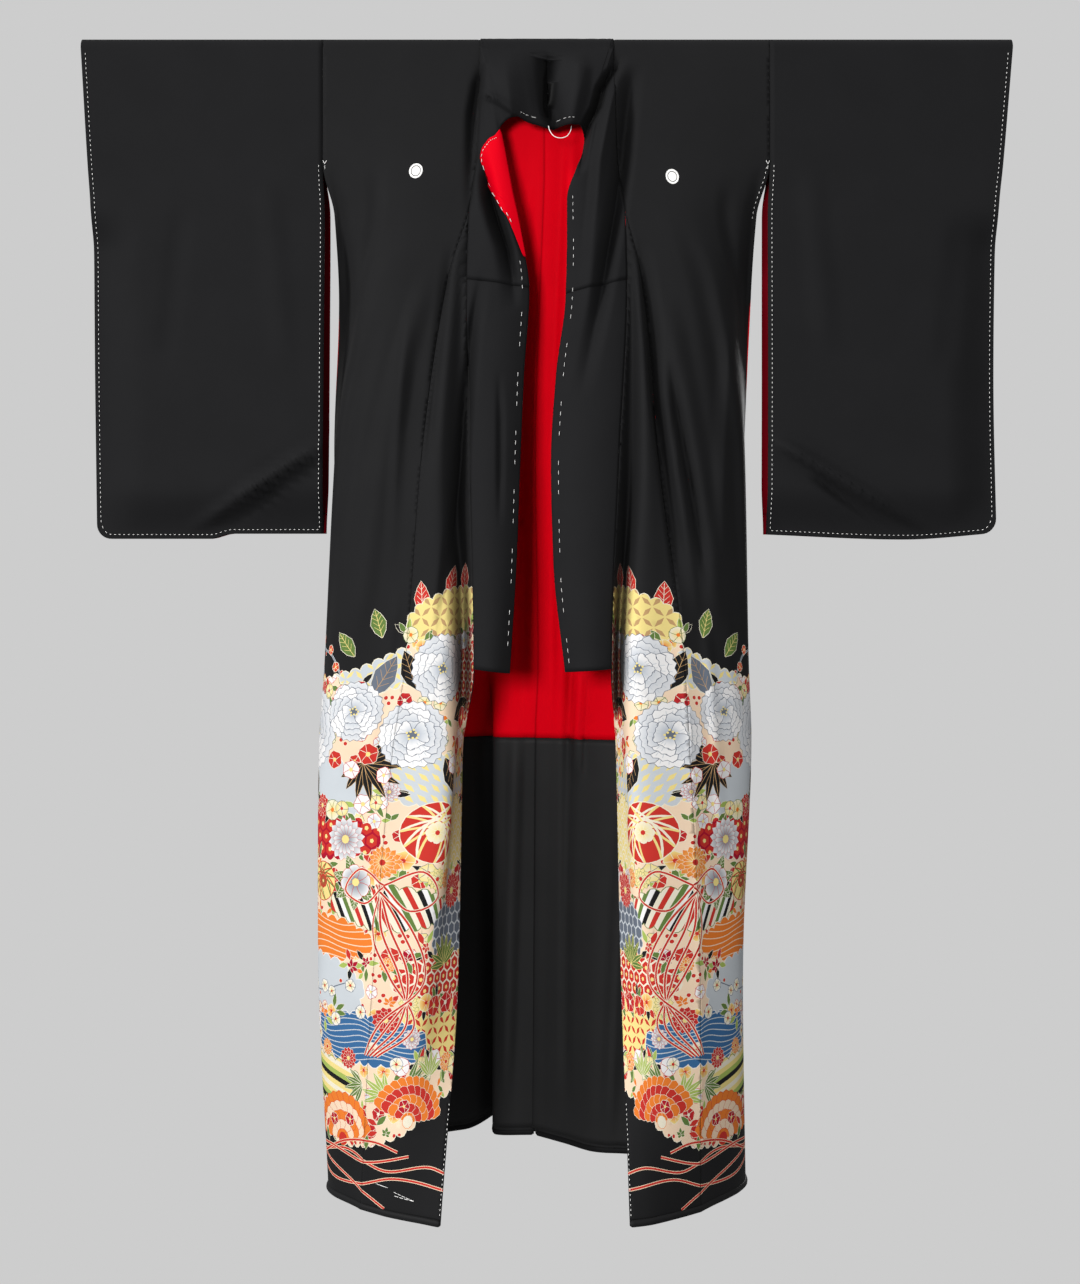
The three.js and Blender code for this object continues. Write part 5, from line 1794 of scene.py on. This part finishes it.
def stitch_mesh(starts, ends, normals, radius=THREAD):
    """Short threads that dip into the cloth at both ends."""
    points, faces = [], []
    for start, end, normal in zip(starts, ends, normals):
        way = unit(end - start)
        aside = unit(np.cross(way, normal))
        first = len(points)
        for share, plump, rise in STITCH_RINGS:
            middle = start + (end - start) * share + normal * (THREAD_LIFT + radius * rise)
            for k in range(STITCH_SIDES):
                turn = 2 * math.pi * k / STITCH_SIDES
                points.append(middle + radius * plump * (aside * math.cos(turn) + normal * math.sin(turn)))
        rings = len(STITCH_RINGS)
        for i in range(rings - 1):
            for k in range(STITCH_SIDES):
                a, b = first + i * STITCH_SIDES + k, first + i * STITCH_SIDES + (k + 1) % STITCH_SIDES
                faces.append((a, b, b + STITCH_SIDES, a + STITCH_SIDES))
        faces.append(tuple(range(first, first + STITCH_SIDES))[::-1])
        faces.append(tuple(range(first + (rings - 1) * STITCH_SIDES, first + rings * STITCH_SIDES)))
    return points, faces


def run_of(path, pitch, length, groups=None):
    """Flat start and end places of stitches along a path. groups are stitches in a row and the
    number left out after them."""
    path = np.asarray(path, float)
    keys = lengths_along(path)
    at = np.arange(0, keys[-1] - length, pitch)
    if groups:
        sewn, left_out = groups
        at = at[np.arange(len(at)) % (sewn + left_out) < sewn]

    def spot(s):
        return np.stack([np.interp(s, keys, path[:, k]) for k in (0, 1)], axis=1)

    return spot(at), spot(at + length)


def sew(name, surface, turn, runs, material_, radius=THREAD):
    """One piece of all the stitches whose flat starts and ends are given, on a surface's outside."""
    starts, ends, normals = [], [], []
    for start, end in runs:
        begin, normal = on_surface(surface, np.asarray(start, float))
        finish, _ = on_surface(surface, np.asarray(end, float))
        starts.append(begin)
        ends.append(finish)
        normals.append(normal * turn)
    points, faces = stitch_mesh(*map(np.concatenate, (starts, ends, normals)), radius)
    piece(name, points, faces, [material_], None, np.array(points)[:, [0, 2]])


def sleeve_basting(side, looks):
    end = SHOULDER_ARC + SLEEVE_DEPTH
    inset, bend = SLEEVE_BASTING_INSET, SLEEVE_BASTING_BEND
    corner = [
        (SLEEVE_WIDTH - SLEEVE_CORNER + bend * math.sin(a), end - SLEEVE_CORNER + bend * math.cos(a))
        for a in np.linspace(0, math.pi / 2, 6)
    ]
    outline = [
        (inset, SHOULDER_ARC + 162), (inset, end - inset), *corner,
        (SLEEVE_WIDTH - inset, SHOULDER_ARC + 4),
    ]
    runs = [run_of([(p, face * q) for p, q in outline], *BASTING) for face in (-1, 1)]

    def surface(p, q):
        return sleeve_at(side, p / SLEEVE_WIDTH, q)

    sew(f"sleeve_basting_{side['name']}", surface, side["sign"], runs, looks["thread"])


def body_marks(side, looks):
    """Basting at the open side below the sleeve, the tack at its top and marks near the hem."""
    name = side["name"]
    top = -(SHOULDER_ARC - ARMHOLE_Z)
    runs = []
    if side["sign"] > 0:
        runs.append(run_of([(5, top - 4), (6.5, top - 76)], *BASTING))
    x = 3.0
    tack_starts = np.array([(x, top - 2), (x, top), (x, top)])
    tack_ends = np.array([(x, top - 7), (x + 3, top + 5), (x - 2.6, top + 5)])
    runs.append((tack_starts, tack_ends))
    low = -(SHOULDER_ARC - HEM_Z)
    dots_at = [(18 + 7 * k, low + 26 - 2.2 * k) for k in range(5)]
    runs.append((np.array(dots_at), np.array(dots_at) + (1.4, 0)))
    sew(f"body_threads_{name}", lambda p, q: body_at(side, p, q), -side["sign"], runs, looks["thread"])


def overlap_marks(side, looks):
    """Basting down the front edge near the hem and the dashes of thread above the hem."""
    edge = OVERLAP_WIDTH - 2.2
    runs = [run_of([(edge, -1420), (edge, -1560)], 6.2, 2.4)]
    if side["sign"] < 0:
        runs.append((np.array([(28.0, -1532.0)]), np.array([(52.0, -1534.0)])))
        runs.append(run_of([(64, -1538), (98, -1546)], 7, 6))
        runs.append(run_of([(66, -1543), (98, -1546)], 8, 7))
    sew(f"okumi_threads_{side['name']}", lambda p, q: overlap_at(side, p, q), -side["sign"], runs, looks["thread"])


COLLAR_BASTING_INSET = 13


def collar_surface(side):
    def surface(p, q):
        rows = [collar_row(side, drop, [share / COLLAR_WIDTH]) for share, drop in zip(p, q)]
        return np.array(rows).reshape(-1, 3)
    return surface


def collar_basting(side, looks):
    top = 300 if side["sign"] < 0 else 175
    inset = COLLAR_WIDTH - COLLAR_BASTING_INSET
    runs = [run_of([(inset, drop) for drop in (top, 480, 700, 862)], 13.5, 6, (4, 2))]
    runs.append(run_of([(inset + 6, -16), (inset + 6, -24.6)], 1.9, 1.1))
    sew(f"collar_basting_{side['name']}", collar_surface(side), side["sign"], runs, looks["thread"], 0.32)


def crest(name, surface, turn, place, looks):
    """A plain round crest: a white disc with a thin dark ring."""
    sides = CREST_SIDES
    turns = np.linspace(0, 2 * math.pi, sides, endpoint=False)
    flat = [place] + [
        (place[0] + r * math.cos(t), place[1] + r * math.sin(t)) for r in CREST_RADII for t in turns
    ]
    spots_at, normals = on_surface(surface, np.array(flat, float))
    points = spots_at + turn * normals * (SHELL / 2 + CREST_LIFT)
    faces, kinds = [], []
    for k in range(sides):
        after = (k + 1) % sides
        faces.append((0, 1 + k, 1 + after))
        kinds.append(0)
        for ring in range(len(CREST_RADII) - 1):
            a, b = 1 + ring * sides + k, 1 + ring * sides + after
            faces.append((a, a + sides, b + sides, b))
            kinds.append(1 if ring == CREST_DARK_RING else 0)
    if turn < 0:
        faces = [face[::-1] for face in faces]
    piece(name, points, faces, [looks["crest"], looks["crepe"]], kinds, np.array(flat))


def thread_loop(name, path, radius, looks):
    """A sewn loop of thread as a thin rod along a smooth path."""
    path = np.asarray(path, float)
    keys = np.arange(len(path))
    at = np.linspace(0, len(path) - 1, 60)
    line = np.stack([curve(keys, path[:, k], at, False) for k in range(3)], axis=1)
    ahead = unit(np.gradient(line, axis=0))
    aside = unit(np.cross(ahead, (0, 1, 0.01)))
    other = np.cross(ahead, aside)
    turns = np.linspace(0, 2 * math.pi, 9)[:-1]
    points = [
        p + radius * (a * math.cos(t) + o * math.sin(t)) for p, a, o in zip(line, aside, other) for t in turns
    ]
    faces = tube_faces(len(line), len(turns))
    piece(name, points, faces, [looks["thread"]], None, np.array(points)[:, [0, 2]])


def facing_stitches(looks):
    """Small stitches along the free edge of the red collar facing."""
    drops = np.arange(96, 236, 8.0)
    ends = drops + 4.5

    def spot(drop):
        share = float(curve([row[0] for row in FACING], [row[1] for row in FACING], drop)[0]) + 0.05
        row = collar_row(LEFT, drop, [share - 0.03, share])
        return row[1], unit(row[1] - row[0])

    starts, finishes, normals = [], [], []
    for a, b in zip(drops, ends):
        first, way = spot(a)
        last, _ = spot(b)
        normal = unit(np.cross(way, last - first))
        normal = normal if normal[1] < 0 else -normal
        starts.append(first + normal * FACING_STEP)
        finishes.append(last + normal * FACING_STEP)
        normals.append(normal)
    points, faces = stitch_mesh(starts, finishes, normals)
    piece("facing_stitches", points, faces, [looks["thread"]], None, np.array(points)[:, [0, 2]])


THREAD_LOOP = [
    (2, -31, -112), (3.5, -35, -119), (9, -37, -127), (18, -38, -130),
    (27, -37, -127), (32, -35, -119), (33, -31, -112),
]


def centre_back(p, q):
    """The back on both sides of its centre seam. p counts from the seam."""
    right = body_at(RIGHT, SIDE_SEAM - np.abs(p), q)
    left = body_at(LEFT, SIDE_SEAM - np.abs(p), q)
    return np.where(p[:, None] < 0, left, right)


def make_threads(looks):
    thread_loop("thread_loop", THREAD_LOOP, 0.55, looks)
    facing_stitches(looks)
    for side in (LEFT, RIGHT):
        sleeve_basting(side, looks)
        body_marks(side, looks)
        overlap_marks(side, looks)
        collar_basting(side, looks)
        across, z = ((141, -173) if side["sign"] < 0 else (150, -181))
        crest(
            f"crest_front_{side['name']}", lambda p, q, s=side: body_at(s, p, q), -side["sign"],
            (across, -(SHOULDER_ARC - z)), looks,
        )
        crest(
            f"crest_sleeve_{side['name']}", lambda p, q, s=side: sleeve_at(s, p / SLEEVE_WIDTH, q), side["sign"],
            (150, SHOULDER_ARC + 75), looks,
        )
    crest("crest_back", centre_back, 1, (0, SHOULDER_ARC + 60), looks)


EYE = (-9.6, -2400, -701)
LONG_SIDE_LENS = 48.94
HORIZON_SHIFT = -0.0639
FLOOR_Z = -1900
ROOM_RADIUS = 16000
ROOM_SIDES = 48
BEND = 2000
BACKDROP = (0.6105, 0.6105, 0.6105)


def make_stage():
    """A pale round floor that runs up into a pale dome, evenly lit on every side."""
    quarter = np.linspace(0, math.pi / 2, 13)
    profile = [
        (ROOM_RADIUS - BEND * (1 - math.sin(a)), FLOOR_Z + BEND * (1 - math.cos(a))) for a in quarter
    ]
    profile += [
        (ROOM_RADIUS * math.cos(a), FLOOR_Z + BEND + ROOM_RADIUS * math.sin(a)) for a in quarter[1:-1]
    ]
    turns = np.linspace(0, 2 * math.pi, ROOM_SIDES, endpoint=False)
    points = [
        (radius * math.cos(a) * MM, radius * math.sin(a) * MM, z * MM) for radius, z in profile for a in turns
    ]
    faces = [
        (start + k, start + (k + 1) % ROOM_SIDES, start + ROOM_SIDES + (k + 1) % ROOM_SIDES, start + ROOM_SIDES + k)
        for start in range(0, len(points) - ROOM_SIDES, ROOM_SIDES) for k in range(ROOM_SIDES)
    ]
    faces += [tuple(range(ROOM_SIDES)), tuple(range(len(points) - ROOM_SIDES, len(points)))]
    mesh = bpy.data.meshes.new("floor")
    mesh.from_pydata(points, [], faces)
    made = bpy.data.materials.new("floor_paint")
    made.use_nodes = True
    nodes, links = made.node_tree.nodes, made.node_tree.links
    nodes.clear()
    glow = nodes.new("ShaderNodeEmission")
    glow.inputs["Color"].default_value = (*BACKDROP, 1)
    out = nodes.new("ShaderNodeOutputMaterial")
    links.new(glow.outputs["Emission"], out.inputs["Surface"])
    mesh.materials.append(made)
    floor = bpy.data.objects.new("floor", mesh)
    bpy.context.scene.collection.objects.link(floor)
    floor.visible_diffuse = False
    floor.visible_glossy = False
    floor.visible_shadow = False


def make_light():
    world = bpy.data.worlds.new("studio")
    world.use_nodes = True
    nodes, links = world.node_tree.nodes, world.node_tree.links
    place = nodes.new("ShaderNodeTexCoord")
    split = nodes.new("ShaderNodeSeparateXYZ")
    sky = nodes.new("ShaderNodeMapRange")
    sky.inputs["From Min"].default_value = -0.6
    sky.inputs["From Max"].default_value = 0.9
    sky.inputs["To Min"].default_value = 0.1
    sky.inputs["To Max"].default_value = 0.6
    links.new(place.outputs["Generated"], split.inputs[0])
    links.new(split.outputs["Z"], sky.inputs["Value"])
    links.new(sky.outputs["Result"], nodes["Background"].inputs["Strength"])
    nodes["Background"].inputs["Color"].default_value = (1, 1, 1, 1)
    bpy.context.scene.world = world
    for name, kind, place, size, power in (
        ("key", "SUN", (-2.6, -1.6, 0.9), 0.2, 2.6),
        ("front", "AREA", (-0.65, -3.2, -0.45), 0.5, 72),
        ("back", "AREA", (1.6, 3.4, 0.4), 1.2, 90),
    ):
        lamp = bpy.data.lights.new(name, kind)
        if kind == "SUN":
            lamp.angle = size
        else:
            lamp.size = size
        lamp.energy = power
        made = bpy.data.objects.new(name, lamp)
        made.location = place
        aim = Vector((0, 0, -0.7)) - Vector(place)
        made.rotation_euler = aim.to_track_quat("-Z", "Y").to_euler()
        bpy.context.scene.collection.objects.link(made)


def make_camera():
    lens = bpy.data.cameras.new("camera")
    lens.sensor_width = 36
    lens.lens = LONG_SIDE_LENS
    lens.shift_y = HORIZON_SHIFT
    lens.clip_start, lens.clip_end = 0.05, 60
    made = bpy.data.objects.new("camera", lens)
    made.location = Vector(EYE) * MM
    made.rotation_euler = (math.pi / 2, 0, 0)
    bpy.context.scene.collection.objects.link(made)
    bpy.context.scene.camera = made


def main():
    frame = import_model()
    make_stage()
    make_light()
    make_camera()
    looks = {
        "print": material("printed_crepe", None, 0.7, 0.02, printed=True, gloss=0.06, painted_fold_shade=1.2),
        "crepe": material("plain_crepe", (0.0095, 0.0095, 0.0102), 0.7, 0.02, gloss=0.06, painted_fold_shade=1.6),
        # A much darker copy of the red silk: painted shade for the sleeve's inside and its red lining strips.
        "shade": material("sleeve_red_silk_painted_shade", (0.13, 0.0002, 0.004), 0.6, 0.0, 1800.0, 0.1, patchy=0.08, gloss=0.02),
        "red": material(
            "red_silk", (0.84, 0.0001, 0.009), 0.6, 0.0, 1800.0, 0.1, patchy=0.1, gloss=0.02, painted_fold_shade=1.0
        ),
        "facing": material("facing_silk", (0.6, 0.0001, 0.008), 0.6, 0.0, 1800.0, 0.1, patchy=0.08, gloss=0.02),
        "hem": material("hem_silk", (0.024, 0.024, 0.0245), 0.55, 0.02, gloss=0.1, painted_fold_shade=1.4),
        "roll": material("hem_roll_silk", (0.0105, 0.0105, 0.011), 0.6, 0.02, gloss=0.08),
        "thread": material("white_thread", (0.82, 0.81, 0.79), 0.7, 0.1, 6000.0, 0.1, patchy=0.05),
        "crest": material("crest_white", (0.83, 0.82, 0.8), 0.7, 0.05, patchy=0.03),
    }
    for side in (LEFT, RIGHT):
        make_side(side, design(PRINT_SEED), looks)
    make_collar(looks)
    make_threads(looks)
    rod = frame["nodes"]["rod"]
    rod.data.materials.clear()
    rod.data.materials.append(wood_material())
    bpy.context.scene.view_settings.view_transform = "Standard"


main()
